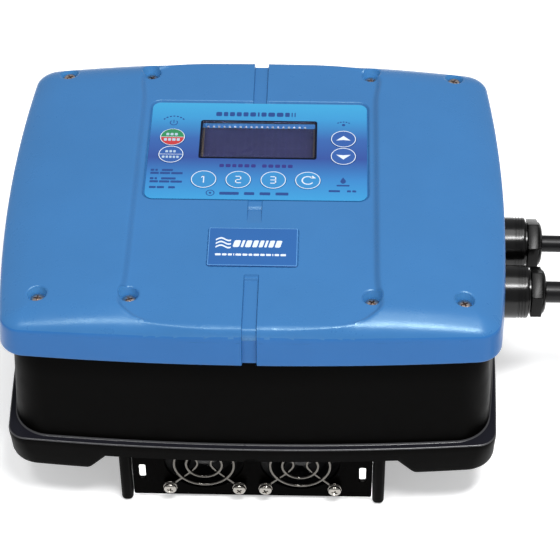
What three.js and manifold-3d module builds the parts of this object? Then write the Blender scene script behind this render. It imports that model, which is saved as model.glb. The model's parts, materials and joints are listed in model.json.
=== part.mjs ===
// Wall-mounted controller for a swimming-pool pump: a blue front cover with a keypad and a display, a black
// rear base with a finned heat sink cooled by two 40 mm fans, and two cable glands with their cables.
// Millimetres. X is the controller's width, +Y points to its upper end, +Z is the front face's normal.
// The origin is the centre of the wall bracket's back face.
import * as THREE from 'three';
import * as BufferGeometryUtils from 'three/addons/utils/BufferGeometryUtils.js';
import Module from 'manifold-3d';

const wasm = await Module();
wasm.setup();

// ---------------------------------------------------------------- driving dimensions
const GAP = 0.3; // clearance between pieces that touch

// Plan of the front cover: a rounded rectangle whose sides and ends bow outwards.
const COVER_PLAN = { halfX: 110.2, halfY: 89.3, bowX: 4.3, bowY: 4.0, radius: 12 };
const FLANGE_PLAN = { halfX: 110.8, halfY: 91.2, bowX: 1.8, bowY: 4.7, radius: 9 };
// Plan of the base wall at its top; it leans out towards its foot.
const WALL_PLAN = { halfX: 105.0, halfY: 86.0, bowX: 4.0, bowY: 3.8, radius: 14 };
const WALL_LEAN = 2.9;
const WALL = 3.0; // base wall thickness
const POCKET_INNER_X = 77; // the side pockets of the base reach in to here

// Heights of the stack, from the wall side to the front.
const SKIRT_SIDE_Z = 26.5; // underside of the flange beside the rails
const SKIRT_MIDDLE_Z = 36.5; // underside of the flange between the rails
const FLANGE_TOP_Z = 44.0;
const DUCT_TOP_Z = 46.0;
const FLOOR_Z = 49.0; // top of the base's inner floor
const RIM_Z = 96.3; // lower edge of the cover
const BASE_TOP_Z = 98.0;
const LEDGE_Z = 100.2; // the cover's ledge over the seal
const PANEL_Z = 116.5; // recessed middle of the front face
const CREST_Z = 119.3; // crests beside it

// Front face.
const RECESS_HALF_X = 55.5;
const RECESS_END_HALF_X = 34.0;
const GROOVE_WIDTH = 6.4;
const GROOVE_DEPTH = 2.2;
const APRON_GROOVE_DEPTH = 1.7;
const FILM_TOP_Z = 115.9; // the keypad film lies below the panel around it
const OVERLAY = { x: 50.9, y0: -7.7, y1: 59.8, thickness: 0.6, radius: 4 };
const WINDOW = { x: 27.4, y0: 20.3, y1: 47.3, ledgeZ: 114.0, rim: 0.9 };
const BADGE = { x: 20.0, y0: -51.9, y1: -27.6, thickness: 0.7, radius: 1.5 };

// Buttons: name, x, y. All are round caps of the same size.
const BUTTON_RADIUS = 5.9;
const BUTTONS = [
  ['button_run_stop', -40.3, 34.6],
  ['button_set', -40.3, 22.4],
  ['button_speed_1', -24.2, 5.4],
  ['button_speed_2', -8.3, 5.4],
  ['button_speed_3', 7.8, 5.4],
  ['button_backwash', 23.7, 5.4],
  ['button_up', 39.9, 34.6],
  ['button_down', 39.9, 22.4],
];

// Cover screws.
const SCREW_OUTER_X = 93.1;
const SCREW_INNER_X = 53.0;
const SCREW_LOWER_Y = -70.0;
const SCREW_UPPER_Y = 81.2;
const WELL_RADIUS = 4.4;
const WELL_FLOOR_Z = 110.4;

// Cooling channel along Y, between two rails.
const RAIL_INNER_X = 55.5;
const RAIL_OUTER_X = 61.0;
const RAIL_FRONT_Y = -90.2;
const RAIL_BACK_Y = 90.2;
const DUCT_HALF_Y = 91.6;
const FAN_X = 22.05;
const FAN_SIZE = 40;
const FAN_HOLES = 32;
const FAN_DEPTH = 20;
const FAN_Z = 25.25;
const FAN_PLATE_Y = -87.0; // outer face of the fan plate
const FAN_PLATE = 2.0;
const FAN_PLATE_FOOT_Z = 1.7;
const SINK = { x: 52, y0: -60, y1: 84, finFoot: 8, plateZ: 38, fins: 15, finThickness: 2 };

// Cable glands on the right-hand side.
const GLAND_Z = 70.0;
const GLAND_SEAT_X = 112.0;
const GLAND_SLEEVE_END_X = 126.4;
const GLAND_NUT_END_X = 134.5;
const GLANDS = [
  { name: 'motor', y: 14.0, cable: 8.0 },
  { name: 'supply', y: -18.5, cable: 10.0 },
];

// Coils of spare cable on the same surface, to the right.
const COILS = {
  motor: { x: 276, y: 55, turnRadius: 38, side: -1 },
  supply: { x: 277, y: -59.5, turnRadius: 46, side: 1 },
};

// ---------------------------------------------------------------- materials
const paint = (color, roughness, metalness = 0) =>
  new THREE.MeshStandardMaterial({ color, roughness, metalness });
const MATERIAL = {
  blue: paint(0x4a84c4, 0.5),
  badge: paint(0x366eb8, 0.35),
  film: paint(0x3f8fd0, 0.3),
  clear: paint(0x42405f, 0.08),
  black: paint(0x131416, 0.28),
  rubber: paint(0x1a1a1b, 0.8),
  cable: paint(0x1c1c1e, 0.55),
  steel: paint(0xb9b4a8, 0.28, 1),
  chrome: paint(0xd2cec6, 0.12, 1),
  aluminium: paint(0xa9adb0, 0.4, 1),
  board: paint(0x1f6b3a, 0.45),
  green: paint(0x2fa25a, 0.5),
  copper: paint(0xb87333, 0.35, 1),
};

// ---------------------------------------------------------------- solids and booleans
function solid(geometry) {
  const bare = geometry.index ? geometry.toNonIndexed() : geometry.clone();
  bare.deleteAttribute('normal');
  bare.deleteAttribute('uv');
  const merged = BufferGeometryUtils.mergeVertices(bare, 1e-4);
  const mesh = new wasm.Mesh({
    numProp: 3,
    vertProperties: new Float32Array(merged.attributes.position.array),
    triVerts: new Uint32Array(merged.index.array),
  });
  return new wasm.Manifold(mesh);
}

function geometryOf(manifold) {
  const mesh = manifold.getMesh();
  const geometry = new THREE.BufferGeometry();
  geometry.setAttribute('position', new THREE.BufferAttribute(mesh.vertProperties, 3));
  geometry.setIndex(new THREE.BufferAttribute(mesh.triVerts, 1));
  geometry.computeVertexNormals();
  return geometry;
}

const union = (parts) => parts.reduce((whole, part) => whole.add(part));
const cut = (body, tools) => tools.reduce((left, tool) => left.subtract(tool), body);

function block(x0, x1, y0, y1, z0, z1) {
  const geometry = new THREE.BoxGeometry(x1 - x0, y1 - y0, z1 - z0);
  geometry.translate((x0 + x1) / 2, (y0 + y1) / 2, (z0 + z1) / 2);
  return solid(geometry);
}

// A cylinder between two heights along an axis; the other two places are given in X, Y, Z order.
function rod(axis, place, low, high, radius, segments = 20) {
  const geometry = new THREE.CylinderGeometry(radius, radius, high - low, segments);
  const middle = (low + high) / 2;
  if (axis === 'x') {
    geometry.rotateZ(-Math.PI / 2);
    geometry.translate(middle, place[0], place[1]);
  } else if (axis === 'y') {
    geometry.translate(place[0], middle, place[1]);
  } else {
    geometry.rotateX(Math.PI / 2);
    geometry.translate(place[0], place[1], middle);
  }
  return solid(geometry);
}

// A turned shape: profile points are [radius, height], from the axis back to the axis.
function turned(profile, segments = 16) {
  const points = profile.map(([r, h]) => new THREE.Vector2(r, h));
  return new THREE.LatheGeometry(points, segments);
}

const facingZ = (geometry) => geometry.rotateX(Math.PI / 2);
const facingX = (geometry) => geometry.rotateZ(-Math.PI / 2);
// Heights of a turned shape run towards -Y.
const facingFront = (geometry) => geometry.rotateX(Math.PI);

function roundedRectangle(x0, x1, y0, y1, radius) {
  const shape = new THREE.Shape();
  shape.moveTo(x0 + radius, y0);
  shape.lineTo(x1 - radius, y0);
  shape.absarc(x1 - radius, y0 + radius, radius, -Math.PI / 2, 0, false);
  shape.lineTo(x1, y1 - radius);
  shape.absarc(x1 - radius, y1 - radius, radius, 0, Math.PI / 2, false);
  shape.lineTo(x0 + radius, y1);
  shape.absarc(x0 + radius, y1 - radius, radius, Math.PI / 2, Math.PI, false);
  shape.lineTo(x0, y0 + radius);
  shape.absarc(x0 + radius, y0 + radius, radius, Math.PI, 1.5 * Math.PI, false);
  return shape;
}

// A plan shape raised from z0 to z1.
function slab(shape, z0, z1, curveSegments = 5) {
  const geometry = new THREE.ExtrudeGeometry(shape, { depth: z1 - z0, bevelEnabled: false, curveSegments });
  return solid(geometry.translate(0, 0, z0));
}

// A shape drawn in X and Z, carried along Y.
function prism(points, y0, y1) {
  const shape = new THREE.Shape(points.map(([x, z]) => new THREE.Vector2(x, z)));
  const geometry = new THREE.ExtrudeGeometry(shape, { depth: y1 - y0, bevelEnabled: false });
  geometry.rotateX(Math.PI / 2);
  return solid(geometry.translate(0, y1, 0));
}

// Points round a bowed, rounded rectangle, drawn in from its plan by an inset.
// Soften adds to its corner radius.
function planPoints(plan, inset, soften = 0, arcSteps = 4, edgeSteps = 6) {
  const halfX = plan.halfX - inset;
  const halfY = plan.halfY - inset;
  const radius = Math.max(plan.radius + soften - inset, 2);
  const corners = [
    [halfX - radius, halfY - radius],
    [radius - halfX, halfY - radius],
    [radius - halfX, radius - halfY],
    [halfX - radius, radius - halfY],
  ];
  const points = [];
  corners.forEach(([cx, cy], corner) => {
    for (let i = 0; i <= arcSteps; i += 1) {
      const angle = ((corner + i / arcSteps) * Math.PI) / 2;
      points.push([cx + radius * Math.cos(angle), cy + radius * Math.sin(angle)]);
    }
    const [fromX, fromY] = points[points.length - 1];
    const [nextX, nextY] = corners[(corner + 1) % 4];
    const along = corner % 2 === 0 ? [nextX - fromX, 0] : [0, nextY - fromY];
    const outward = [[0, plan.bowY], [-plan.bowX, 0], [0, -plan.bowY], [plan.bowX, 0]][corner];
    for (let i = 1; i < edgeSteps; i += 1) {
      const t = i / edgeSteps;
      const bulge = 4 * t * (1 - t);
      points.push([fromX + along[0] * t + outward[0] * bulge, fromY + along[1] * t + outward[1] * bulge]);
    }
  });
  return points;
}

// A closed solid through plan outlines stacked at [inset, z, soften] levels, lowest first.
function stacked(plan, levels) {
  const positions = [];
  const rings = levels.map(([inset, z, soften]) =>
    planPoints(plan, inset, soften).map(([x, y]) => [x, y, z]));
  const count = rings[0].length;
  const triangle = (...corners) => corners.forEach((corner) => positions.push(...corner));
  for (let i = 0; i < count; i += 1) {
    const j = (i + 1) % count;
    triangle([0, 0, levels[0][1]], rings[0][j], rings[0][i]);
    triangle([0, 0, levels[levels.length - 1][1]], rings[levels.length - 1][i], rings[levels.length - 1][j]);
    for (let k = 1; k < rings.length; k += 1) {
      triangle(rings[k - 1][i], rings[k - 1][j], rings[k][j]);
      triangle(rings[k - 1][i], rings[k][j], rings[k][i]);
    }
  }
  const geometry = new THREE.BufferGeometry();
  geometry.setAttribute('position', new THREE.Float32BufferAttribute(positions, 3));
  return solid(geometry);
}

// A closed tube along a curve.
function tube(curve, radius, steps, sides) {
  const section = new THREE.Shape();
  for (let i = 0; i < sides; i += 1) {
    const angle = (i / sides) * 2 * Math.PI;
    section[i === 0 ? 'moveTo' : 'lineTo'](radius * Math.cos(angle), radius * Math.sin(angle));
  }
  section.closePath();
  return new THREE.ExtrudeGeometry(section, { steps, bevelEnabled: false, extrudePath: curve });
}

const group = new THREE.Group();

function addMesh(name, shape, material, place = [0, 0, 0]) {
  const geometry = shape.isBufferGeometry ? shape : geometryOf(shape);
  const mesh = new THREE.Mesh(geometry, material);
  mesh.name = name;
  mesh.position.set(...place);
  group.add(mesh);
}

// Places of the eight cover screws, by name.
const COVER_SCREWS = [];
for (const [endName, y] of [['lower', SCREW_LOWER_Y], ['upper', SCREW_UPPER_Y]]) {
  for (const [rowName, x] of [['outer', SCREW_OUTER_X], ['inner', SCREW_INNER_X]]) {
    for (const [sideName, side] of [['left', -1], ['right', 1]]) {
      COVER_SCREWS.push({ name: `cover_screw_${endName}_${rowName}_${sideName}`, x: side * x, y });
    }
  }
}

// ---------------------------------------------------------------- front cover
function panelRecess() {
  const endY = 100;
  const turnY = 80;
  const shape = new THREE.Shape();
  shape.moveTo(-RECESS_END_HALF_X + 6, -endY);
  shape.lineTo(RECESS_END_HALF_X - 6, -endY);
  shape.quadraticCurveTo(RECESS_HALF_X, -turnY - 9, RECESS_HALF_X, -turnY + 8);
  shape.lineTo(RECESS_HALF_X, turnY - 8);
  shape.quadraticCurveTo(RECESS_HALF_X, turnY + 9, RECESS_END_HALF_X - 6, endY);
  shape.lineTo(-RECESS_END_HALF_X + 6, endY);
  shape.quadraticCurveTo(-RECESS_HALF_X, turnY + 9, -RECESS_HALF_X, turnY - 8);
  shape.lineTo(-RECESS_HALF_X, -turnY + 8);
  shape.quadraticCurveTo(-RECESS_HALF_X, -turnY - 9, -RECESS_END_HALF_X + 6, -endY);
  return slab(shape, PANEL_Z, CREST_Z + 4, 6);
}

// One stretch of the centre groove; its floor ramps up to the surface from y1 to y2.
function grooveStretch(yOpen, y1, y2) {
  const floor = PANEL_Z - GROOVE_DEPTH;
  const over = PANEL_Z + 1;
  const section = [[yOpen, floor], [y1, floor], [y2, PANEL_Z], [y2, over], [yOpen, over]];
  const shape = new THREE.Shape(section.map(([y, z]) => new THREE.Vector2(y, z)));
  const geometry = new THREE.ExtrudeGeometry(shape, { depth: GROOVE_WIDTH, bevelEnabled: false });
  geometry.rotateX(Math.PI / 2);
  geometry.rotateZ(Math.PI / 2);
  geometry.translate(-GROOVE_WIDTH / 2, 0, 0);
  return solid(geometry);
}

// The groove runs on down the cover's apron at both ends.
function apronGrooves() {
  const endY = COVER_PLAN.halfY + COVER_PLAN.bowY;
  const half = GROOVE_WIDTH / 2;
  return [-1, 1].map((side) => {
    const [y0, y1] = [side * (endY - APRON_GROOVE_DEPTH), side * (endY + 2)].sort((a, b) => a - b);
    return block(-half, half, y0, y1, RIM_Z - 1, PANEL_Z + 1);
  });
}

// The outline of a pocket that holds a plate with a little clearance.
const seatOutline = ({ x, y0, y1 }, radius, clearance = GAP) =>
  roundedRectangle(-x - clearance, x + clearance, y0 - clearance, y1 + clearance, radius);

function frontCover() {
  const body = stacked(COVER_PLAN, [
    [0, RIM_Z], [1.0, 110], [1.8, 113], [3.5, 115.6], [6, 117.6], [9.5, 119.0], [14, CREST_Z + 0.6],
  ]);
  const crown = prism(
    [
      [-120, 80], [120, 80], [120, 112.2], [112, 113.4], [100, 114.9], [85, 116.6], [70, 118.1], [60, 119.0],
      [RECESS_HALF_X + 1, CREST_Z], [-RECESS_HALF_X - 1, CREST_Z], [-60, 119.0], [-70, 118.1], [-85, 116.6],
      [-100, 114.9], [-112, 113.4], [-120, 112.2],
    ],
    -110,
    110,
  );
  const inside = [
    stacked(WALL_PLAN, [[-GAP, RIM_Z - 1], [-GAP, LEDGE_Z]]),
    stacked(WALL_PLAN, [[WALL, LEDGE_Z - 1], [WALL + 0.4, 109.2], [WALL + 6, 111.4], [WALL + 24, 113.6]])
      .subtract(slab(roundedRectangle(-35, 35, 12, 55, 3), 113.1, 120)),
  ];
  const shell = cut(body.intersect(crown).subtract(panelRecess()), inside);
  const bosses = COVER_SCREWS.map(({ x, y }) => rod('z', [x, y], LEDGE_Z, 113, 6.4, 12));
  const holes = COVER_SCREWS.flatMap(({ x, y }) => [
    rod('z', [x, y], WELL_FLOOR_Z, 125, WELL_RADIUS, 14),
    rod('z', [x, y], 90, 120, 2.1, 8),
  ]);
  const filmFloor = FILM_TOP_Z - OVERLAY.thickness - 0.1;
  const seats = [
    slab(seatOutline(OVERLAY, OVERLAY.radius), filmFloor, 120),
    slab(seatOutline(BADGE, BADGE.radius), PANEL_Z - 0.6, 120),
    slab(seatOutline(WINDOW, 1.5), WINDOW.ledgeZ, 120, 2),
    slab(seatOutline(WINDOW, 0.5, -WINDOW.rim), 108, 120, 2),
    grooveStretch(100, OVERLAY.y1 + 0.2, OVERLAY.y1),
    grooveStretch(OVERLAY.y0 + 1, -13.4, -24),
    grooveStretch(-100, -59.5, -56.5),
    ...apronGrooves(),
  ];
  const keyHoles = BUTTONS.map(([, x, y]) => rod('z', [x, y], 108, 120, BUTTON_RADIUS + 0.5, 16));
  const whole = cut(union([shell, ...bosses.map((boss) => boss.intersect(body.intersect(crown)))]), holes);
  return cut(whole, [...seats, ...keyHoles]);
}

// ---------------------------------------------------------------- keypad and display
function overlayFilm() {
  const z0 = FILM_TOP_Z - OVERLAY.thickness;
  const outline = roundedRectangle(-OVERLAY.x, OVERLAY.x, OVERLAY.y0, OVERLAY.y1, OVERLAY.radius);
  const film = slab(outline, z0, z0 + OVERLAY.thickness);
  const window = slab(seatOutline(WINDOW, 1.5), 110, 125, 2);
  const keyHoles = BUTTONS.map(([, x, y]) => rod('z', [x, y], 110, 125, BUTTON_RADIUS + 0.3, 16));
  return cut(film, [window, ...keyHoles]);
}

function displayWindow() {
  return slab(roundedRectangle(-WINDOW.x, WINDOW.x, WINDOW.y0, WINDOW.y1, 1.2),
    WINDOW.ledgeZ + GAP, FILM_TOP_Z + 0.1, 2);
}

const LCD_Z = 110.8;
const PIN_PITCH = 2.54;
const PIN_COUNT = 19;
const PIN_ROW = { x: -1.2, y: 46.4 };

function lcdModule() {
  const frame = block(-33, 33, 15, 53, 103, LCD_Z);
  const pins = [];
  for (let i = 0; i < PIN_COUNT; i += 1) {
    const x = PIN_ROW.x + (i - (PIN_COUNT - 1) / 2) * PIN_PITCH;
    pins.push(rod('z', [x, PIN_ROW.y], LCD_Z - 0.5, LCD_Z + 1.8, 0.6, 4));
  }
  return union([frame, ...pins]);
}

const BOARD_TOP_Z = 102.2;
const STEM_END_Z = BOARD_TOP_Z + 4.4;

function displayBoard() {
  const board = block(-50, 50, -6, 57, BOARD_TOP_Z - 1.6, BOARD_TOP_Z);
  const switches = BUTTONS.map(([, x, y]) =>
    block(x - 3, x + 3, y - 3, y + 3, BOARD_TOP_Z - 0.2, BOARD_TOP_Z + 3.2));
  return union([board, ...switches]);
}

// A round cap on a stem that reaches its switch.
function button() {
  const top = FILM_TOP_Z + 0.25;
  return facingZ(turned([
    [0, STEM_END_Z], [2, STEM_END_Z], [2, 110.2], [BUTTON_RADIUS - 0.5, 110.2], [BUTTON_RADIUS, 110.6],
    [BUTTON_RADIUS, top - 0.5], [BUTTON_RADIUS - 0.9, top - 0.1], [0, top],
  ], 16));
}

function badgePlate() {
  const z0 = PANEL_Z - GAP;
  const outline = roundedRectangle(-BADGE.x, BADGE.x, BADGE.y0, BADGE.y1, BADGE.radius);
  return slab(outline, z0, z0 + BADGE.thickness, 3);
}

// ---------------------------------------------------------------- screws
// A pan head screw with a cross recess, its head's seat at height 0 and its shank below.
function panScrew(headRadius, headHeight, shankRadius, shankLength) {
  const body = solid(facingZ(turned([
    [0, -shankLength], [shankRadius * 0.7, -shankLength], [shankRadius, -shankLength + 1], [shankRadius, 0],
    [headRadius, 0], [headRadius, headHeight * 0.45], [headRadius * 0.72, headHeight * 0.88],
    [0, headHeight],
  ], 10)));
  const arm = headRadius * 0.52;
  const half = headRadius * 0.12;
  const floor = headHeight * 0.35;
  return cut(body, [
    block(-arm, arm, -half, half, floor, headHeight + 1),
    block(-half, half, -arm, arm, floor, headHeight + 1),
  ]);
}

function coverScrews() {
  COVER_SCREWS.forEach(({ name, x, y }) => {
    addMesh(name, panScrew(3.6, 2.6, 1.6, 26), MATERIAL.steel, [x, y, WELL_FLOOR_Z + GAP]);
  });
}

// ---------------------------------------------------------------- rear base
const postFootZ = (x) => (Math.abs(x) > POCKET_INNER_X ? SKIRT_SIDE_Z + 1 : FLOOR_Z - 1);

function rearBase() {
  const shell = stacked(WALL_PLAN, [
    [-WALL_LEAN, SKIRT_SIDE_Z], [-WALL_LEAN, FLANGE_TOP_Z], [0, BASE_TOP_Z],
  ]);
  const flange = stacked(FLANGE_PLAN, [
    [1.4, SKIRT_SIDE_Z, 6], [0.4, SKIRT_SIDE_Z + 0.5, 6], [0, SKIRT_SIDE_Z + 2, 5],
    [0, FLANGE_TOP_Z - 0.6], [0.6, FLANGE_TOP_Z],
  ]);
  const outside = union([shell, flange]);
  const sidePocket = stacked(WALL_PLAN, [[WALL, SKIRT_SIDE_Z + WALL], [WALL, FLOOR_Z + 1]]);
  const hollow = [
    stacked(WALL_PLAN, [[WALL - WALL_LEAN, FLOOR_Z], [WALL, BASE_TOP_Z], [WALL, BASE_TOP_Z + 1]]),
    sidePocket.intersect(block(-120, -POCKET_INNER_X, -100, 100, 0, 60)),
    sidePocket.intersect(block(POCKET_INNER_X, 120, -100, 100, 0, 60)),
    prism([[-76, 10], [-76, SKIRT_SIDE_Z - 2.2], [-65, SKIRT_MIDDLE_Z], [65, SKIRT_MIDDLE_Z],
      [76, SKIRT_SIDE_Z - 2.2], [76, 10]], -110, 110),
  ];
  const railWidth = RAIL_OUTER_X - RAIL_INNER_X;
  const railSection = [
    [0.6, 0.7], [1.6, 0], [railWidth - 1.6, 0], [railWidth - 0.6, 0.7], [railWidth, 2.2],
    [railWidth, FLOOR_Z - 1], [0, FLOOR_Z - 1], [0, 2.2],
  ];
  const rails = [-RAIL_OUTER_X, RAIL_INNER_X].map((x0) =>
    prism(railSection.map(([x, z]) => [x0 + x, z]), RAIL_FRONT_Y, RAIL_BACK_Y));
  const duct = block(-RAIL_INNER_X, RAIL_INNER_X, -DUCT_HALF_Y, DUCT_HALF_Y, -1, DUCT_TOP_Z);
  const powerOpening = block(-32, 32, -22, 22, DUCT_TOP_Z - 1, FLOOR_Z + 1);
  const seats = GLANDS.map(({ y }) => rod('x', [y, GLAND_Z], GLAND_SEAT_X - 6, GLAND_SEAT_X, 14, 24));
  const glandHoles = GLANDS.map(({ y }) => rod('x', [y, GLAND_Z], 95, 130, 8.3, 16));
  const posts = COVER_SCREWS.map(({ x, y }) =>
    rod('z', [x, y], postFootZ(x), BASE_TOP_Z, 4.2, 12));
  const threads = COVER_SCREWS.map(({ x, y }) => rod('z', [x, y], 80, 100, 2.0, 10));
  const boardPosts = [[-78, -58], [78, -58], [-78, 60], [78, 60]].map(([x, y]) =>
    rod('z', [x, y], postFootZ(x), BOARD_Z - GAP, 4, 10));
  const tub = union([cut(outside, hollow), ...rails, ...seats, ...posts, ...boardPosts]);
  return cut(tub, [duct, powerOpening, ...glandHoles, ...threads]);
}

function coverSeal() {
  return stacked(WALL_PLAN, [[0.4, BASE_TOP_Z + GAP], [0.4, LEDGE_Z - GAP]])
    .subtract(stacked(WALL_PLAN, [[2.2, BASE_TOP_Z - 1], [2.2, LEDGE_Z + 1]]));
}

// ---------------------------------------------------------------- electronics
const BOARD_Z = 57.0;
const BOARD_THICKNESS = 1.6;

function heatSink() {
  const fins = [];
  for (let i = 0; i < SINK.fins; i += 1) {
    const x = -SINK.x + SINK.finThickness / 2 + (i * (2 * SINK.x - SINK.finThickness)) / (SINK.fins - 1);
    const half = SINK.finThickness / 2;
    fins.push(block(x - half, x + half, SINK.y0, SINK.y1, SINK.finFoot, SINK.plateZ + 1));
  }
  return union([block(-SINK.x, SINK.x, SINK.y0, SINK.y1, SINK.plateZ, DUCT_TOP_Z - GAP), ...fins]);
}

function electronics() {
  const boardTop = BOARD_Z + BOARD_THICKNESS;
  addMesh('heat_sink', heatSink(), MATERIAL.aluminium);
  addMesh('main_board', block(-84, 84, -64, 66, BOARD_Z, boardTop), MATERIAL.board);
  addMesh('power_module', block(-28, 28, -18, 18, DUCT_TOP_Z, BOARD_Z - GAP), MATERIAL.rubber);
  const can = () => facingZ(turned([[0, 0], [11, 0], [11, 29], [10, 30], [0, 30]], 20));
  [[-62, 20], [-62, -10]].forEach(([x, y], i) =>
    addMesh(`capacitor_${i + 1}`, can(), MATERIAL.rubber, [x, y, boardTop + GAP]));
  const ringSection = [[7, 0], [17, 0], [18, 1], [18, 14], [17, 15], [7, 15], [6, 14], [6, 1], [7, 0]];
  const toroid = facingZ(turned(ringSection, 20));
  addMesh('inductor', toroid, MATERIAL.copper, [-18, 44, boardTop + GAP]);
  GLANDS.forEach(({ name, y }) => {
    const body = block(62, 76, y - 13, y + 13, boardTop + GAP, boardTop + 15);
    const mouths = [-8.4, 0, 8.4].map((dy) =>
      block(72, 80, y + dy - 2.6, y + dy + 2.6, boardTop + 3, boardTop + 8.5));
    addMesh(`terminal_block_${name}`, cut(body, mouths), MATERIAL.green);
  });
}

// ---------------------------------------------------------------- cooling fans
const HOLE_OFFSETS = [-1, 1].flatMap((sx) =>
  [-1, 1].map((sz) => [(sx * FAN_HOLES) / 2, (sz * FAN_HOLES) / 2]));

function fanPlate() {
  const half = RAIL_INNER_X - GAP;
  const plate = block(-half, half, FAN_PLATE_Y, FAN_PLATE_Y + FAN_PLATE, FAN_PLATE_FOOT_Z, DUCT_TOP_Z - GAP);
  const bores = [-FAN_X, FAN_X].map((x) => rod('y', [x, FAN_Z], -95, -70, 18.2, 28));
  const screwHoles = [-FAN_X, FAN_X].flatMap((x) =>
    HOLE_OFFSETS.map(([dx, dz]) => rod('y', [x + dx, FAN_Z + dz], -95, -70, 1.9, 8)));
  const windows = [-1, 1].map((side) => {
    const [x0, x1] = side < 0 ? [-52.2, -46.6] : [46.6, 52.2];
    return block(x0, x1, -95, -70, 13.5, 23.0);
  });
  return cut(plate, [...bores, ...screwHoles, ...windows]);
}

const FRAME_FRONT_Y = FAN_PLATE_Y + FAN_PLATE + GAP;
const HUB_RADIUS = 8;

// The square frame, with its motor cup on struts at the back. Made about the fan's own axis.
function fanFrame() {
  const half = FAN_SIZE / 2;
  const back = FRAME_FRONT_Y + FAN_DEPTH;
  const shape = roundedRectangle(-half, half, -half, half, 3);
  const settings = { depth: FAN_DEPTH, bevelEnabled: false, curveSegments: 3 };
  const casing = new THREE.ExtrudeGeometry(shape, settings).rotateX(Math.PI / 2);
  const body = solid(casing.translate(0, back, 0));
  const corners = HOLE_OFFSETS.map(([dx, dz]) => rod('y', [dx, dz], -100, -40, 2.0, 8));
  const struts = [0, 1, 2].map((i) => {
    const strut = new THREE.BoxGeometry(14, 2.4, 2.4);
    strut.translate(13, 0, 0);
    strut.rotateY((i * 2 * Math.PI) / 3 + 0.4);
    return solid(strut.translate(0, back - 1.2, 0));
  });
  const hollow = cut(body, [rod('y', [0, 0], -100, -40, 18.6, 28), ...corners]);
  return union([hollow, ...struts, rod('y', [0, 0], back - 3, back, HUB_RADIUS, 20)]);
}

// Hub and seven raked blades, turning about Y.
function fanRotor() {
  const front = FRAME_FRONT_Y + 2;
  const back = FRAME_FRONT_Y + FAN_DEPTH - 3.6;
  const hub = facingFront(turned([
    [0, -back], [HUB_RADIUS, -back], [HUB_RADIUS, -front - 1.2], [HUB_RADIUS - 1.2, -front], [0, -front],
  ], 20));
  const blades = [];
  for (let i = 0; i < 7; i += 1) {
    const blade = new THREE.BoxGeometry(10.4, 11, 1.2, 3, 1, 1);
    blade.translate(HUB_RADIUS + 4.6, 0, 0);
    const places = blade.attributes.position;
    for (let k = 0; k < places.count; k += 1) {
      const rake = 0.95 - 0.03 * (places.getX(k) - HUB_RADIUS);
      const [y, z] = [places.getY(k), places.getZ(k)];
      places.setY(k, y * Math.cos(rake) - z * Math.sin(rake));
      places.setZ(k, y * Math.sin(rake) + z * Math.cos(rake));
    }
    blade.rotateY((i * 2 * Math.PI) / 7);
    blades.push(solid(blade.translate(0, (front + back) / 2, 0)));
  }
  return union([solid(hub), ...blades]);
}

// Wire guard: two rings on two bent legs whose ends are eyelets under the screws.
const GUARD_WIRE = 0.65;
function fingerGuard() {
  const legY = FAN_PLATE_Y - GAP - GUARD_WIRE;
  const ringY = legY - 2 * GUARD_WIRE + 0.35;
  const ring = (radius) => {
    const geometry = new THREE.TorusGeometry(radius, GUARD_WIRE, 5, 24);
    geometry.rotateX(Math.PI / 2);
    return solid(geometry.translate(0, ringY, 0));
  };
  const corner = FAN_HOLES / 2;
  const legs = [-1, 1].map((side) => {
    const bend = new THREE.CatmullRomCurve3([
      [corner - 1.8, -corner + 1.8], [10, -9.7], [6, -5], [3.6, 0], [6, 5], [10, 9.7],
      [corner - 1.8, corner - 1.8],
    ].map(([x, z]) => new THREE.Vector3(side * x, legY, z)));
    return solid(tube(bend, GUARD_WIRE, 12, 5));
  });
  const eyelets = HOLE_OFFSETS.map(([dx, dz]) => {
    const eye = new THREE.TorusGeometry(2.5, GUARD_WIRE * 0.9, 4, 10);
    eye.rotateX(Math.PI / 2);
    return solid(eye.translate(dx, legY, dz));
  });
  return union([ring(13.7), ring(8.2), ...legs, ...eyelets]);
}

// A screw with a washer that clamps the guard's eyelet, its head towards -Y.
const FAN_WASHER = 0.5;
function fanScrew() {
  const washer = rod('z', [0, 0], -FAN_WASHER, 0.1, 3.15, 12);
  return geometryOf(panScrew(2.95, 1.9, 1.45, 16).add(washer)).rotateX(Math.PI / 2);
}

function fans() {
  const seatY = FAN_PLATE_Y - 2 * GUARD_WIRE - 2 * GAP - FAN_WASHER;
  addMesh('fan_plate', fanPlate(), MATERIAL.black);
  [['left', -FAN_X], ['right', FAN_X]].forEach(([side, x]) => {
    addMesh(`fan_frame_${side}`, fanFrame(), MATERIAL.black, [x, 0, FAN_Z]);
    addMesh(`fan_rotor_${side}`, fanRotor(), MATERIAL.black, [x, 0, FAN_Z]);
    addMesh(`finger_guard_${side}`, fingerGuard(), MATERIAL.chrome, [x, 0, FAN_Z]);
    HOLE_OFFSETS.forEach(([dx, dz]) => {
      const name = `fan_screw_${side}_${dz < 0 ? 'lower' : 'upper'}_${dx < 0 ? 'a' : 'b'}`;
      addMesh(name, fanScrew(), MATERIAL.steel, [x + dx, seatY, FAN_Z + dz]);
    });
  });
}

function outletGrille() {
  const half = RAIL_INNER_X - GAP;
  const plate = block(-half, half, 87.0, 89.2, FAN_PLATE_FOOT_Z, DUCT_TOP_Z - GAP);
  const slots = [];
  for (let i = -5; i <= 5; i += 1) {
    slots.push(block(i * 9 - 2.8, i * 9 + 2.8, 80, 95, 8, 34));
  }
  return cut(plate, slots);
}

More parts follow.
